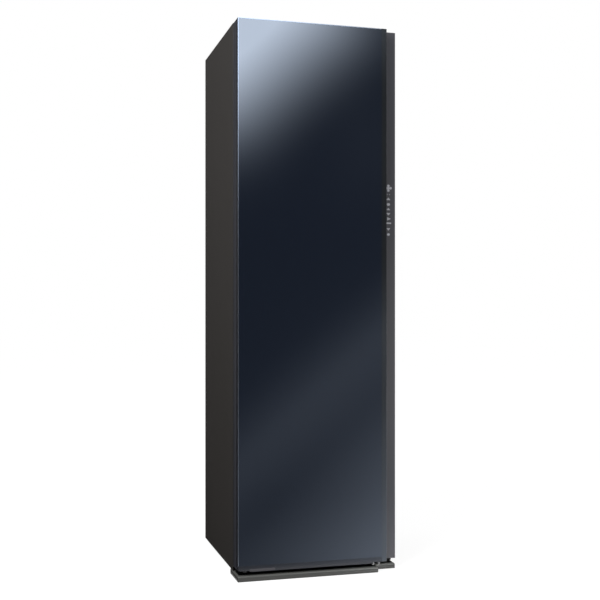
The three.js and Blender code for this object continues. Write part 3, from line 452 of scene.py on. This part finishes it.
for side in ("left", "right"):
    cover = slab(f"{side}_side_cover", *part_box(f"{side}_side_panel"))
    fitted(softened(cover, 0.0005, 3), "cabinet", graphite_paint, f"{side}_side_panel")
roof_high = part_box("top_panel")[1]
roof_dip = 0.0012
roof_field = slab("roof_field", (-0.25, -0.15, roof_high.z - roof_dip), (0.25, 0.27, roof_high.z + roof_dip))
edit(roof_field)
choose_faces(roof_field, lambda middle, normal: normal.z < -0.9)
bpy.ops.transform.resize(value=(0.985, 0.982, 1))
done()
roof = carved(traced("roof_cover", "top_panel"), roof_field)
fitted(softened(roof, 0.0008, 3), "cabinet", graphite_paint, "top_panel")

rear_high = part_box("back_panel")[1]
rear_y = rear_high.y
dressed("rear_cover", "back_panel", "cabinet", zinc_steel, 0.0004)


def swage(name, low, high):
    """A pressed bead on the back: a long low ridge with sloping ends."""
    ridge = slab(name, low, high)
    edit(ridge)
    choose_faces(ridge, lambda middle, normal: normal.y > 0.9)
    bpy.ops.transform.resize(value=(0.985, 1, 0.3))
    done()
    return softened(ridge, 0.0006, 3, 20)


rear_bead_rise = 0.0025
rear_bead_pitch = 0.24
rear_bead = swage("rear_bead", (-0.21, rear_y, 0.42), (0.21, rear_y + rear_bead_rise, 0.436))
beads = repeated(rear_bead, 6, (0, 0, rear_bead_pitch))
fitted(joined("rear_beads", beads), "cabinet", zinc_steel)
louvre_length = 0.07
louvre_height = 0.009
louvre_rise = 0.0045
louvre_pitch = 0.016
column_pitch = louvre_length + 0.012
lip_width = 0.0005
slot_depth = 0.002
louvre_fields = []
for x, z, columns, rows in (
        (-0.24, 0.13, 1, 9),
        (0.09, 0.13, 2, 9),
        (-0.117, 1.78, 3, 7)):
    louvre = slab("louvre", (x, rear_y, z), (x + louvre_length, rear_y + louvre_rise, z + louvre_height))
    edit(louvre)
    choose_faces(louvre, lambda middle, normal: normal.y > 0.9)
    bpy.ops.transform.resize(value=(0.93, 1, 0.45))
    bpy.ops.transform.translate(value=(0, 0, -louvre_height * 0.25))
    choose_faces(louvre, lambda middle, normal: normal.z < -0.7)
    bpy.ops.mesh.inset(thickness=lip_width, depth=-slot_depth)
    done()
    softened(louvre, 0.0004)
    repeated(louvre, columns, (column_pitch, 0, 0))
    louvre_fields.append(repeated(louvre, rows, (0, 0, louvre_pitch)))
fitted(joined("rear_louvres", *louvre_fields), "cabinet", zinc_steel)


def pan_screw(radius, height):
    """A pan-head screw with a cross recess, upright at the origin."""
    bpy.ops.object.select_all(action="DESELECT")
    bpy.ops.mesh.primitive_cylinder_add(
        vertices=20, radius=radius, depth=height, location=(0, 0, height / 2))
    head = settled("pan_screw")
    edit(head)
    choose_edges(head, lambda a, b: min(a.z, b.z) > height * 0.9)
    bpy.ops.mesh.bevel(offset=height * 0.6, segments=3)
    done()
    arm = radius * 1.1
    slit = radius * 0.14
    bars = [slab("bar", (-length / 2, -width / 2, height * 0.45), (length / 2, width / 2, height * 1.2))
            for length, width in ((arm, slit * 2), (slit * 2, arm))]
    carved(head, *bars)
    only(head)
    bpy.ops.object.shade_smooth_by_angle(angle=math.radians(35))
    return head


def turned_to(piece, axis, angle):
    """Turns a piece in its mesh about the origin."""
    edit(piece)
    bpy.ops.mesh.select_all(action="SELECT")
    bpy.ops.transform.rotate(value=angle, orient_axis=axis, center_override=(0, 0, 0))
    done()
    return piece


rear_screw = turned_to(pan_screw(0.004, 0.0022), "X", math.pi / 2)
side_edge = 0.009
top_edge = 0.012
lowest_screw = 0.06
screw_pitch = 0.31
screw_rows = [lowest_screw + screw_pitch * index for index in range(7)]
rear_places = [(side * (rear_high.x - side_edge), rear_y, z) for side in (-1, 1) for z in screw_rows]
rear_places += [(x, rear_y, rear_high.z - top_edge) for x in (-0.18, 0, 0.18)]
fitted(copies_at("rear_screws", rear_screw, rear_places), "cabinet", screw_steel)

# Plinth and feet: a painted cover with a rounded front edge, screwed under the case, with a painted highlight
# along the rounding. Under the door, a black strip on the plinth and a black wall behind it are painted shade
# in the gap, and two nylon glides carry the door's free end. Behind it are a galvanised base plate and four
# levelling feet, each a moulded pad on a threaded stem.
plinth_low, plinth_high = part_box("plinth_cover")
plinth_top = 0.02
step_x = 0.218
step_y = -0.274
plinth_round = 0.006
highlight_low = 0.0135
highlight_high = 0.0165
plinth_paint = paint("plinth_paint", tone(70, 70, 68), tone(65, 65, 63), 0.42, 0.2)
# The rounded top edge is tinted lighter in colour: a painted highlight where the edge catches the light.
painted_highlight = plinth_paint.rise(plinth_paint.along("Z"), highlight_low, highlight_high)
plinth_paint.show({"Base Color": plinth_paint.tint(painted_highlight, plinth_paint.colour, tone(102, 103, 100))})
moulding = slab("plinth_moulding", (plinth_low.x, plinth_low.y, 0), (step_x, plinth_high.y, plinth_top))
edit(moulding)
bpy.ops.mesh.select_all(action="SELECT")
bpy.ops.mesh.bisect(plane_co=(0, step_y, 0), plane_no=(0, 1, 0))
choose_faces(moulding, lambda middle, normal: normal.x > 0.9 and middle.y > step_y)
bpy.ops.mesh.extrude_region_move(TRANSFORM_OT_translate={"value": (plinth_high.x - step_x, 0, 0)})
bpy.ops.mesh.select_all(action="SELECT")
bpy.ops.mesh.dissolve_limited(angle_limit=math.radians(0.5))
done()
rounded(moulding, plinth_round, 5, lambda a, b: min(a.z, b.z) > plinth_top - 0.0001 and (
    min(a.y, b.y) < plinth_high.y - 0.001))
foot_holes = []
hole_radius = 0.019
for number in (1, 2):
    foot_low, foot_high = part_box(f"foot_{number}")
    bpy.ops.object.select_all(action="DESELECT")
    bpy.ops.mesh.primitive_cylinder_add(vertices=40, radius=hole_radius, depth=0.06, location=(
        (foot_low.x + foot_high.x) / 2, (foot_low.y + foot_high.y) / 2, plinth_top / 2))
    foot_holes.append(settled("foot_hole"))
fitted(softened(carved(moulding, *foot_holes), 0.0008), "cabinet", plinth_paint, "plinth_cover")


def moulded(name, first, second, roughness, fixed=None, grain=0.0011, depth=0.00002):
    """Moulded plastic: two very close shades in soft clouds, and a fine etched grain."""
    finish = Finish(name, fixed)
    clouds = finish.noise(0.12, 2)
    etched = finish.noise(grain, 2)
    finish.show({"Base Color": finish.tint(clouds, first, second),
                 "Roughness": finish.rise(etched, 0.25, 0.75, roughness - 0.05, roughness + 0.05)})
    finish.relief(etched, depth)
    return finish


# This black is painted shade: the strip on the plinth and the wall behind it stand where the gap under the
# door lies in shadow.
shade_black = moulded("shade_black", tone(10, 10, 11), tone(7, 7, 8), 0.95, {"IOR": 1.12}, 0.0012, 0.0002)
gap_shade_back = -0.237
gap_shade_low = plinth_top - 0.001
gap_shade_high = plinth_top + 0.0012
gap_shade = [softened(slab("gap_shade", (low_x, low_y, gap_shade_low), (high_x, gap_shade_back, gap_shade_high)), 0.0006)
        for low_x, low_y, high_x in (
            (-0.291, -0.298, step_x - 0.004),
            (step_x - 0.006, -0.264, 0.291))]
fitted(joined("gap_shade_strip", *gap_shade), "cabinet", shade_black)
wall_shade_front = -0.2305
wall_shade_back = -0.223
wall_shade_low = plinth_top - 0.0005
under_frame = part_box("front_frame")[0].z - 0.0005
under_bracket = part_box("hinge_bracket_bottom")[0].z - 0.0005
wall_shade = [softened(slab("wall_shade", (low_x, wall_shade_front, wall_shade_low), (high_x, wall_shade_back, high_z)), 0.0008)
        for low_x, high_x, high_z in (
            (-0.2955, -0.2905, under_frame),
            (-0.2905, -0.2495, under_bracket),
            (-0.2495, 0.2955, under_frame))]
fitted(joined("front_shade_wall", *wall_shade), "cabinet", shade_black)

glide_low_z = plinth_top - 0.001
glide_size = Vector((0.006, 0.014, plinth_high.z - glide_low_z))
glides = []
for x, y in ((0.206, -0.2895), (0.232, -0.274)):
    glide_low = Vector((x, y, glide_low_z))
    glides.append(softened(slab("glide", glide_low, glide_low + glide_size), 0.0014, 3))
glide_nylon = moulded("glide_nylon", tone(150, 150, 152), tone(144, 144, 146), 0.4)
fitted(joined("door_glides", *glides), "cabinet", glide_nylon)
dressed("base_tray", "base_plate", "cabinet", zinc_steel, 0.0005)

foot_finish = Finish("foot_steel", {"Metallic": 0.6})
foot_height = foot_finish.along("Z")
thread_pitch = 0.00125
pad_top = 0.012
ridge = foot_height.math("SINE", foot_height * (2 * math.pi / thread_pitch))
on_stem = foot_finish.rise(foot_height, pad_top - 0.0005, pad_top + 0.0005)
foot_finish.show({
    "Base Color": foot_finish.tint(on_stem, tone(44, 45, 48), tone(176, 178, 180)),
    "Roughness": 0.55 - 0.25 * on_stem + 0.05 * foot_finish.noise(0.003)})
foot_finish.relief(ridge * on_stem, 0.0003)
for number in (1, 2, 3, 4):
    dressed(f"levelling_foot_{number}", f"foot_{number}", f"foot_{number}", foot_finish, 0.0005)

# Case front and hinge brackets: a moulded frame round the chamber and bay openings, a folded steel beam
# behind its top, and two blackened steel brackets, each with a pin for the door.
liner_plastic = moulded("liner_plastic", tone(188, 191, 195), tone(183, 186, 190), 0.4)
dark_plastic = moulded("dark_plastic", tone(52, 54, 59), tone(47, 49, 54), 0.52)
dressed("opening_frame", "front_frame", "cabinet", dark_plastic, 0.0016, 3)
dressed("top_beam", "front_beam_top", "cabinet", zinc_steel, 0.0006)
motor_black = paint("motor_black", tone(30, 31, 33), tone(25, 26, 28), 0.42, 0.3)
for end in ("top", "bottom"):
    dressed(f"{end}_hinge", f"hinge_bracket_{end}", "cabinet", motor_black, 0.0005)
bracket_low, bracket_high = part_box("hinge_bracket_top")
bracket_x = (bracket_low.x + bracket_high.x) / 2
bracket_places = [(bracket_x + dx, bracket_high.y - dy, bracket_high.z)
                  for dx in (-0.01, 0.01) for dy in (0.012, 0.036)]
fitted(copies_at("hinge_screws", pan_screw(0.0032, 0.0018), bracket_places), "cabinet", screw_steel)

# Hanging chamber: moulded liners with shelf ledges and upright beads that keep clothes off the wall, a
# floor, a ceiling with vanes in its air slots, and a milky ribbed lamp lens behind the frame's top.
for part in ("liner_left", "liner_right", "liner_back", "chamber_floor", "chamber_ceiling"):
    dressed(f"{part}_moulding", part, "cabinet", liner_plastic, 0.0008)
wall_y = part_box("liner_back")[0].y
bead_low = 0.7
bead_high = 1.5
bead_rise = 0.002
bead_width = 0.009
bead_pitch = 0.06


def bead(name, low, high):
    """A rounded upright rib on a moulded wall."""
    return softened(slab(name, low, high), bead_rise * 0.9, 4)


bead_x = -0.18
bead_y = -0.12
wall_beads = [repeated(
    bead("back_bead", (bead_x - bead_width / 2, wall_y - bead_rise, bead_low),
         (bead_x + bead_width / 2, wall_y + bead_rise, bead_high)), 7, (bead_pitch, 0, 0))]
for side in (-1, 1):
    wall_x = side * 0.2535
    wall_beads.append(repeated(
        bead("side_bead", (wall_x - bead_rise, bead_y, bead_low),
             (wall_x + bead_rise, bead_y + bead_width, bead_high)), 6, (0, bead_pitch, 0)))
fitted(joined("liner_beads", *wall_beads), "cabinet", liner_plastic)

ceiling_low, ceiling_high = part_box("chamber_ceiling")
rail_low, rail_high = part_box("hanger_rail")
rail_y = (rail_low.y + rail_high.y) / 2
rail_z = (rail_low.z + rail_high.z) / 2
hanger_pitch = 0.09
vane_x = -2 * hanger_pitch
vane_half = 0.0055
vane_front = rail_y - 0.074
vane_back = vane_front + 0.0015
vane_lean = 0.0016
vane_pitch = 0.008
vane = slab("air_vanes", (vane_x - vane_half, vane_front, ceiling_low.z + 0.0002),
            (vane_x + vane_half, vane_back, ceiling_high.z))
edit(vane)
choose_faces(vane, lambda middle, normal: normal.z < -0.9)
bpy.ops.transform.translate(value=(0, vane_lean, 0))
done()
softened(vane, 0.0003)
repeated(vane, 19, (0, vane_pitch, 0))
fitted(repeated(vane, 5, (hanger_pitch, 0, 0)), "cabinet", dark_plastic)

lamp_plastic = moulded("lamp_plastic", tone(243, 243, 238), tone(238, 238, 233), 0.3,
                       {"Subsurface Weight": 0.2, "Subsurface Scale": 0.01})
lens_low, lens_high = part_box("lamp_lens")
lens = softened(slab("lamp_cover", lens_low, lens_high), 0.0022, 4)
first_rib = lens_low.x + 0.006
rib_width = 0.0025
rib_end = 0.003
rib_rise = 0.0006
rib_pitch = 0.004
lens_rib = softened(slab("lens_rib", (first_rib, lens_low.y + rib_end, lens_low.z - rib_rise),
                         (first_rib + rib_width, lens_high.y - rib_end, lens_low.z + rib_rise)), 0.0005, 3)
lens_ribs = repeated(lens_rib, 27, (rib_pitch, 0, 0))
fitted(joined("lamp_cover", lens, lens_ribs), "cabinet", lamp_plastic, "lamp_lens")

# Hanging rail and hangers: a chromed tube between two screwed flanges, and five moulded hangers that ride
# on it by an open hook, with rounded shoulders and soft grips at their ends.
rail_chrome = Finish("rail_chrome", {"Metallic": 1.0})
rail_haze = rail_chrome.noise(0.05, 4, (4, 1, 1))
rail_chrome.show({"Base Color": rail_chrome.tint(rail_haze, tone(196, 200, 205), tone(182, 187, 193)),
                  "Roughness": rail_chrome.rise(rail_haze, 0.3, 0.7, 0.09, 0.17)})
dressed("garment_rail", "hanger_rail", "cabinet", rail_chrome, 0.0006)
screw_circle = 0.0155
flange_width = 0.005
for side, name in ((-1, "left"), (1, "right")):
    flange_screw = turned_to(pan_screw(0.0028, 0.0014), "Y", side * math.pi / 2)
    screw_x = side * (rail_high.x - flange_width)
    screw_places = [(screw_x, rail_y + screw_circle * math.cos(turn), rail_z + screw_circle * math.sin(turn))
                    for turn in (math.pi / 2, math.pi * 7 / 6, math.pi * 11 / 6)]
    fitted(copies_at(f"rail_screws_{name}", flange_screw, screw_places), "cabinet", screw_steel)
grip_rubber = moulded("grip_rubber", tone(84, 86, 90), tone(78, 80, 84), 0.75, None, 0.0007, 0.00004)
shoulder_slope = 0.39
shoulder_z = rail_z - 0.1043
first_grip = 0.018
grip_step = 0.009
grip_climb = 0.0037


def moved(piece, step):
    """Moves a piece in its mesh."""
    only(piece)
    bpy.ops.transform.translate(value=step)
    return settled(piece.name)


for number in (1, 2, 3, 4, 5):
    dressed(f"garment_hanger_{number}", f"hanger_{number}", f"hanger_{number}", dark_plastic, 0.0028, 4)
    hanger_low, hanger_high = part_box(f"hanger_{number}")
    grips = []
    for side in (-1, 1):
        tip = hanger_high.y if side > 0 else hanger_low.y
        grip = softened(slab("shoulder_grip", (hanger_low.x + 0.002, -0.0016, -0.0012),
                             (hanger_high.x - 0.002, 0.0016, 0.0014)), 0.0008, 3)
        turned_to(grip, "X", side * shoulder_slope)
        moved(grip, (0, tip - side * first_grip, shoulder_z))
        grips.append(repeated(grip, 5, (0, -side * grip_step, grip_climb)))
    fitted(joined(f"shoulder_grips_{number}", *grips), f"hanger_{number}", grip_rubber)

# Shelf and deodorising filter: a slotted moulded tray on the liners' ledges, and a louvred cassette with
# a pleated filter behind its slots.
dressed("shelf_tray", "shelf", "shelf", liner_plastic, 0.0016, 3)
dressed("filter_cassette", "deodorising_filter", "deodorising_filter", dark_plastic, 0.001, 3)
filter_low, filter_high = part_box("deodorising_filter")
pleat_pitch = 0.004
pleat_depth = 0.0022
pleat_margin = 0.0105
pleat_end = 0.012
pleat_floor = filter_low.y + 0.0058
pleat_count = round((filter_high.x - filter_low.x - 2 * pleat_margin) / pleat_pitch)
first_pleat = filter_low.x + pleat_margin
pleat = slab("filter_pleats", (first_pleat, pleat_floor - pleat_depth, filter_low.z + pleat_end),
             (first_pleat + pleat_pitch, pleat_floor + 0.001, filter_high.z - pleat_end))
edit(pleat)
choose_faces(pleat, lambda middle, normal: normal.y < -0.9)
bpy.ops.transform.resize(value=(0.12, 1, 1))
done()
softened(pleat, 0.0002)
repeated(pleat, pleat_count, (pleat_pitch, 0, 0))
filter_paper = moulded("filter_paper", tone(158, 156, 148), tone(146, 144, 136), 0.9, None, 0.0005, 0.00006)
fitted(joined("filter_pleats", pleat), "deodorising_filter", filter_paper)
tab_half = 0.014
tab_reach = 0.006
pull_tab = slab("filter_tab", (-tab_half, filter_low.y - tab_reach, filter_high.z - 0.007),
                (tab_half, filter_low.y + 0.001, filter_high.z - 0.004))
edit(pull_tab)
choose_faces(pull_tab, lambda middle, normal: normal.y < -0.9)
bpy.ops.transform.resize(value=(0.8, 1, 1))
bpy.ops.transform.translate(value=(0, 0, -0.001))
done()
fitted(softened(pull_tab, 0.0012, 3), "deodorising_filter", dark_plastic)

# Steam nozzle: a round moulded cap with a ring of steam slots. It is pressed into the chamber floor over
# the end of the steam hose.
nozzle_low, nozzle_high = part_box("steam_nozzle")
nozzle_x = (nozzle_low.x + nozzle_high.x) / 2
nozzle_y = (nozzle_low.y + nozzle_high.y) / 2
slot_half = 0.0013
slot_start = 0.009
slot_end = 0.021
slot_count = 10
steam_slots = []
for index in range(slot_count):
    steam_slot = slab("steam_slot", (slot_start, -slot_half, nozzle_high.z - 0.008),
                      (slot_end, slot_half, nozzle_high.z + 0.002))
    turned_to(steam_slot, "Z", 2 * math.pi * index / slot_count)
    steam_slots.append(moved(steam_slot, (nozzle_x, nozzle_y, 0)))
nozzle_cap = carved(softened(traced("steam_cap", "steam_nozzle"), 0.0012, 3), *steam_slots)
fitted(softened(nozzle_cap, 0.0003), "cabinet", dark_plastic, "steam_nozzle")

# Water and lint bay: a steel shelf and a moulded back wall, the duct in the middle, the lint basket that
# hangs in it, and two smoky tanks under dark lids with knurled filler caps.
dressed("bay_shelf", "tank_shelf", "cabinet", zinc_steel, 0.0005)
dressed("bay_wall", "bay_back_wall", "cabinet", liner_plastic, 0.0006)
dressed("lint_duct", "filter_housing", "cabinet", dark_plastic, 0.0008)
tank_plastic = moulded("tank_plastic", tone(112, 119, 127), tone(104, 111, 120), 0.2,
                       {"Transmission Weight": 0.35, "IOR": 1.49}, 0.004, 0.00001)
dressed("lint_basket", "lint_filter", "lint_filter", tank_plastic, 0.0007)
basket_low, basket_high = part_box("lint_filter")
gauze = Finish("lint_gauze", {"Metallic": 0.0})
mesh_pitch = 0.0014
threads = [axis.math("ABSOLUTE", axis.math("SINE", axis * (math.pi / mesh_pitch))) for axis in (
    gauze.along("X"), gauze.along("Z"))]
weave = gauze.rise(threads[0].math("MINIMUM", *threads), 0.3, 0.5)
gauze.show({"Base Color": gauze.tint(gauze.noise(0.02), tone(214, 216, 218), tone(200, 202, 205)),
            "Roughness": 0.6 + 0.1 * gauze.noise(0.004), "Alpha": 1 - weave})
gauze_y = basket_high.y - 0.0075
gauze_half = 0.0185
gauze_top = 0.319
gauze_thickness = 0.0004
mesh_panel = slab("lint_mesh", (-gauze_half, gauze_y, basket_low.z + 0.011),
                  (gauze_half, gauze_y + gauze_thickness, gauze_top))
fitted(softened(mesh_panel, 0.0001), "lint_filter", gauze)
tick_start = 0.012
tick_end = 0.03
tick_rise = 0.0007
tick_pitch = 0.032
cap_radius = 0.0206
cap_setback = 0.04
knurl_half = 0.0008
knurl_count = 28
wing_length = 0.03
wing_width = 0.004
for tank in ("supply_tank", "drain_tank"):
    box_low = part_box(tank)[0]
    lid_low, lid_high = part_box(f"{tank}_lid")
    box = softened(traced(f"{tank}_box", tank), 0.0011, 3)
    tick = softened(slab("level_tick", (box_low.x + tick_start, box_low.y - tick_rise, box_low.z + 0.03),
                         (box_low.x + tick_end, box_low.y + tick_rise, box_low.z + 0.0316)), 0.0005, 2)
    ticks = repeated(tick, 4, (0, 0, tick_pitch))
    fitted(joined(f"{tank}_box", box, ticks), tank, tank_plastic, tank)

    lid = softened(traced(f"{tank}_cover", f"{tank}_lid"), 0.0011, 3)
    cap_x = (lid_low.x + lid_high.x) / 2
    cap_y = lid_high.y - cap_setback
    knurls = []
    for index in range(knurl_count):
        knurl = slab("knurl", (cap_radius - 0.0014, -knurl_half, lid_low.z + 0.0035),
                     (cap_radius, knurl_half, lid_high.z - 0.0012))
        turned_to(knurl, "Z", 2 * math.pi * index / knurl_count)
        knurls.append(moved(knurl, (cap_x, cap_y, 0)))
    wing = softened(slab("cap_wing", (cap_x - wing_length / 2, cap_y - wing_width / 2, lid_high.z - 0.001),
                         (cap_x + wing_length / 2, cap_y + wing_width / 2, lid_high.z + 0.0035)), 0.0014, 3)
    fitted(joined(f"{tank}_cover", lid, *knurls, wing), tank, dark_plastic, f"{tank}_lid")

# Machines behind the bay: heat pump, steam generator, pump, fans and electrics, bought-in parts that the
# covers hide. They keep their CAD shapes, with softened edges and their own finishes.
case_plastic = moulded("case_plastic", tone(141, 144, 148), tone(135, 138, 142), 0.5)
pump_black = moulded("pump_black", tone(30, 31, 33), tone(26, 27, 29), 0.45)
fin_metal = galvanised("fin_metal", tone(196, 200, 203), tone(184, 188, 192), 0.28)
seal_rubber = moulded("seal_rubber", tone(78, 80, 84), tone(72, 74, 78), 0.8, None, 0.0008, 0.00004)
copper_tube = Finish("copper_tube", {"Metallic": 1.0})
tarnish = copper_tube.noise(0.02, 5)
copper_tube.show({"Base Color": copper_tube.tint(tarnish, tone(186, 120, 78), tone(150, 92, 60)),
                  "Roughness": copper_tube.rise(tarnish, 0.3, 0.7, 0.26, 0.45)})
for name, node, body, finish, width in (
        ("generator_case", "steam_generator", "cabinet", case_plastic, 0.001),
        ("electrics_case", "control_box", "cabinet", case_plastic, 0.001),
        ("pump_body", "water_pump", "cabinet", pump_black, 0.0008),
        ("compressor_shell", "compressor", "cabinet", motor_black, 0.0012),
        ("fan_motor_shell", "circulation_fan_motor", "cabinet", motor_black, 0.0008),
        ("cold_coil", "evaporator", "cabinet", fin_metal, 0.0003),
        ("warm_coil", "condenser", "cabinet", fin_metal, 0.0003),
        ("steam_tube", "steam_hose", "cabinet", seal_rubber, 0.0005),
        ("coolant_tube", "refrigerant_pipe", "cabinet", copper_tube, 0.0005),
        ("fan_scroll", "circulation_fan_housing", "cabinet", dark_plastic, 0.0008),
        ("fan_wheel", "circulation_impeller", "circulation_impeller", dark_plastic, 0.0002),
        ("blower_scroll", "top_blower_housing", "cabinet", dark_plastic, 0.0008),
        ("blower_wheel", "top_impeller", "top_impeller", dark_plastic, 0.0002),
        ("inlet_socket", "power_inlet", "cabinet", pump_black, 0.0006)):
    dressed(name, node, body, finish, width)
inlet_low, inlet_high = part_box("power_inlet")
inlet_x = (inlet_low.x + inlet_high.x) / 2
inlet_z = (inlet_low.z + inlet_high.z) / 2
pin_size = Vector((0.002, 0.0145, 0.004))
pin_foot = inlet_high.y - 0.018
pins = []
for dx, dz in ((-0.007, -0.0015), (0, 0.0025), (0.007, -0.0015)):
    pin_low = Vector((inlet_x + dx - pin_size.x / 2, pin_foot, inlet_z + dz - pin_size.z / 2))
    pins.append(softened(slab("pin", pin_low, pin_low + pin_size), 0.0006, 3))
fitted(joined("inlet_pins", *pins), "cabinet", screw_steel)
inlet_screw = turned_to(pan_screw(0.0026, 0.0014), "X", math.pi / 2)
inlet_places = [(inlet_x + dx, inlet_high.y, inlet_z) for dx in (-0.0195, 0.0195)]
fitted(copies_at("inlet_screws", inlet_screw, inlet_places), "cabinet", screw_steel)

# Door body: a deep moulded shell, a pale dished liner screwed into its back, with upright beads in the
# dish, and a magnetic seal with a grooved lip round it.
shell_plastic = moulded("shell_plastic", tone(46, 46, 53), tone(42, 43, 50), 0.46)
dressed("door_body", "door_shell", "door", shell_plastic, 0.0009, 3)
liner_back_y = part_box("door_liner")[1].y
door_dish = softened(traced("door_dish", "door_liner"), 0.0014, 3)
dish_back = -0.288
dish_bead = softened(slab("dish_bead", (-0.16, dish_back - 0.002, 0.17), (-0.148, dish_back + 0.0025, 1.68)),
                     0.0022, 4)
dish_beads = repeated(dish_bead, 6, (bead_pitch, 0, 0))
fitted(joined("door_dish", door_dish, dish_beads), "door", liner_plastic, "door_liner")
dish_screw = turned_to(pan_screw(0.0036, 0.0016), "X", math.pi / 2)
dish_edge = 0.2805
lowest_screw = 0.13
screw_pitch = 0.34
dish_places = [(side * dish_edge, liner_back_y, lowest_screw + screw_pitch * row)
               for side in (-1, 1) for row in range(6)]
fitted(copies_at("dish_screws", dish_screw, dish_places), "door", screw_steel)
door_seal = traced("door_seal", "door_gasket")
edit(door_seal)
choose_faces(door_seal, lambda middle, normal: normal.y > 0.9)
bpy.ops.mesh.inset(thickness=0.0032)
bpy.ops.mesh.inset(thickness=0.0008, depth=-0.0014)
done()
fitted(softened(door_seal, 0.0007, 3), "door", seal_rubber, "door_gasket")

# Mirror glass: one dark sheet with a mirror coating on its back and ground edges. It is bonded to the
# door body's front, inside the trim.
mirror_glass = Finish("mirror_glass", {"IOR": 2.33})
smudges = mirror_glass.noise(0.09, 5, (1, 1, 1.6))
ripple = mirror_glass.noise(0.5, 1)
mirror_glass.show({"Base Color": mirror_glass.tint(ripple, tone(24, 30, 42), tone(23, 29, 40)),
                   "Roughness": mirror_glass.rise(smudges, 0.35, 0.8, 0.025, 0.05)})
mirror_glass.relief(ripple, 0.0004)
pane_low, pane_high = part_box("door_glass")
pane = softened(slab("mirror_pane", pane_low, pane_high), 0.0001)
fitted(pane, "door", mirror_glass, "door_glass")

# Trim, grip rail and control strip: anodised aluminium. An angle caps the glass, bright at the left and top
# and dark at the foot, over a moulded lip of the door body. A dark rail ends the glass at the right with
# the finger channel behind, and the strip is set back there.
def anodised(name, first, second, roughness, fixed):
    """Brushed and anodised aluminium: fine upright lines in the colour and the sheen."""
    finish = Finish(name, fixed)
    finish.lines = finish.noise(0.0006, 3, (1, 1, 260))
    finish.colour = finish.tint(finish.lines, first, second)
    finish.show({"Base Color": finish.colour,
                 "Roughness": finish.rise(finish.lines, 0.25, 0.75, roughness - 0.04, roughness + 0.05)})
    finish.relief(finish.lines, 0.000006)
    return finish


bright_trim = anodised("bright_trim", tone(172, 178, 188), tone(158, 164, 174), 0.3, {"IOR": 1.8})
at_front = 1 - bright_trim.rise(bright_trim.along("Y"), pane_low.y + 0.0004, pane_low.y + 0.0012)
over_foot = bright_trim.rise(bright_trim.along("Z"), pane_low.z, pane_low.z + 0.004)
rim = at_front * over_foot
bright_trim.show({
    "Base Color": bright_trim.tint(rim, tone(35, 36, 42), bright_trim.colour),
    "Metallic": 0.95 * rim,
    "Roughness": 0.14 + 0.14 * rim + 0.06 * bright_trim.lines})
rail_metal = anodised("rail_metal", tone(33, 35, 37), tone(30, 32, 34), 0.1, {"IOR": 2.33})
strip_satin = anodised("strip_satin", tone(74, 73, 77), tone(69, 68, 72), 0.45, {"Metallic": 0.1})
dressed("glass_surround", "glass_frame", "door", bright_trim, 0.00015)
trim_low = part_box("glass_frame")[0]
lip_drop = 0.0047
lip_depth = 0.007
lip = softened(slab("trim_lip", (-0.25, trim_low.y + 0.0002, trim_low.z - lip_drop),
                    (0.196, trim_low.y + lip_depth, trim_low.z + 0.0005)), 0.0012, 3)
fitted(lip, "door", shell_plastic)
# A pale satin strip under the left end of the trim's foot, lighter than the dark trim beside it.
foot_strip = softened(slab("pale_foot_strip", (-0.256, trim_low.y - 0.0003, trim_low.z - 0.0029),
                            (-0.165, trim_low.y + 0.0005, trim_low.z + 0.0057)), 0.0003, 2)
fitted(foot_strip, "door", strip_satin)
rail_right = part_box("grip_rail")[1].x
rail = rounded(traced("finger_rail", "grip_rail"), 0.0008, 3, lambda a, b: (
    abs(a.z - b.z) > 1 and min(a.x, b.x) > rail_right - 0.004))
fitted(rail, "door", rail_metal, "grip_rail")
strip_low, strip_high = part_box("control_strip")
fitted(softened(slab("touch_strip", strip_low, strip_high), 0.0005, 3), "door", strip_satin, "control_strip")

# Touch marks: plain marks in pale ink, printed on the strip over its touch sensors: a cluster of dots, and
# under it a column of wedges, dots and a bar.
mark_print = Finish("mark_print", {"Roughness": 0.5})
ink = mark_print.tint(mark_print.noise(0.001), tone(186, 186, 192), tone(174, 174, 180))
mark_print.show({"Base Color": ink})
mark_x = 0.2715
mark_rise = 0.0002
cluster_z = 1.3886
cluster_step = 0.0085
cluster_dot = 0.0094


def printed(x, z, sides, width, height, turn=0.0):
    """A flat printed shape with this many sides."""
    bpy.ops.object.select_all(action="DESELECT")
    bpy.ops.mesh.primitive_circle_add(vertices=sides, radius=0.5, fill_type="NGON", rotation=(0, 0, turn))
    bpy.ops.object.transform_apply(rotation=True)
    shape = bpy.context.object
    shape.rotation_euler = (math.pi / 2, 0, 0)
    shape.scale = (width, height, 1)
    shape.location = (x, strip_low.y, z)
    shape = settled("mark")
    edit(shape)
    bpy.ops.mesh.select_all(action="SELECT")
    bpy.ops.mesh.extrude_region_move(TRANSFORM_OT_translate={"value": (0, -mark_rise, 0)})
    done()
    return shape


marks = [printed(mark_x + right * cluster_step, cluster_z + over * cluster_step, 20, cluster_dot, cluster_dot)
         for right, over in ((0, 0), (0, 1), (0, -1), (1, 0), (-1, 0))]
small_dot = 0.003
marks += [printed(mark_x + dx, 1.3657, 12, small_dot, small_dot) for dx in (-0.004, 0.004)]
for z, sides, width, height, turn in (
        (1.3485, 3, 0.017, 0.013, 0),
        (1.3292, 20, 0.012, 0.010, 0),
        (1.3113, 3, 0.016, 0.011, 0),
        (1.2949, 3, 0.018, 0.012, math.pi),
        (1.2766, 3, 0.018, 0.014, -math.pi / 2),
        (1.2609, 4, 0.030, 0.007, math.pi / 4),
        (1.2397, 3, 0.016, 0.012, math.pi),
        (1.2196, 20, 0.011, 0.009, 0)):
    marks.append(printed(mark_x, z, sides, width, height, turn))
fitted(joined("touch_marks", *marks), "door", mark_print)

# Hinge bushes: pale plastic sleeves pressed into the top and bottom of the door body, which turn on the
# brackets' pins.
bush_plastic = moulded("bush_plastic", tone(154, 160, 170), tone(148, 154, 164), 0.4)
for end in ("top", "bottom"):
    dressed(f"{end}_sleeve", f"hinge_bush_{end}", "door", bush_plastic, 0.0004)
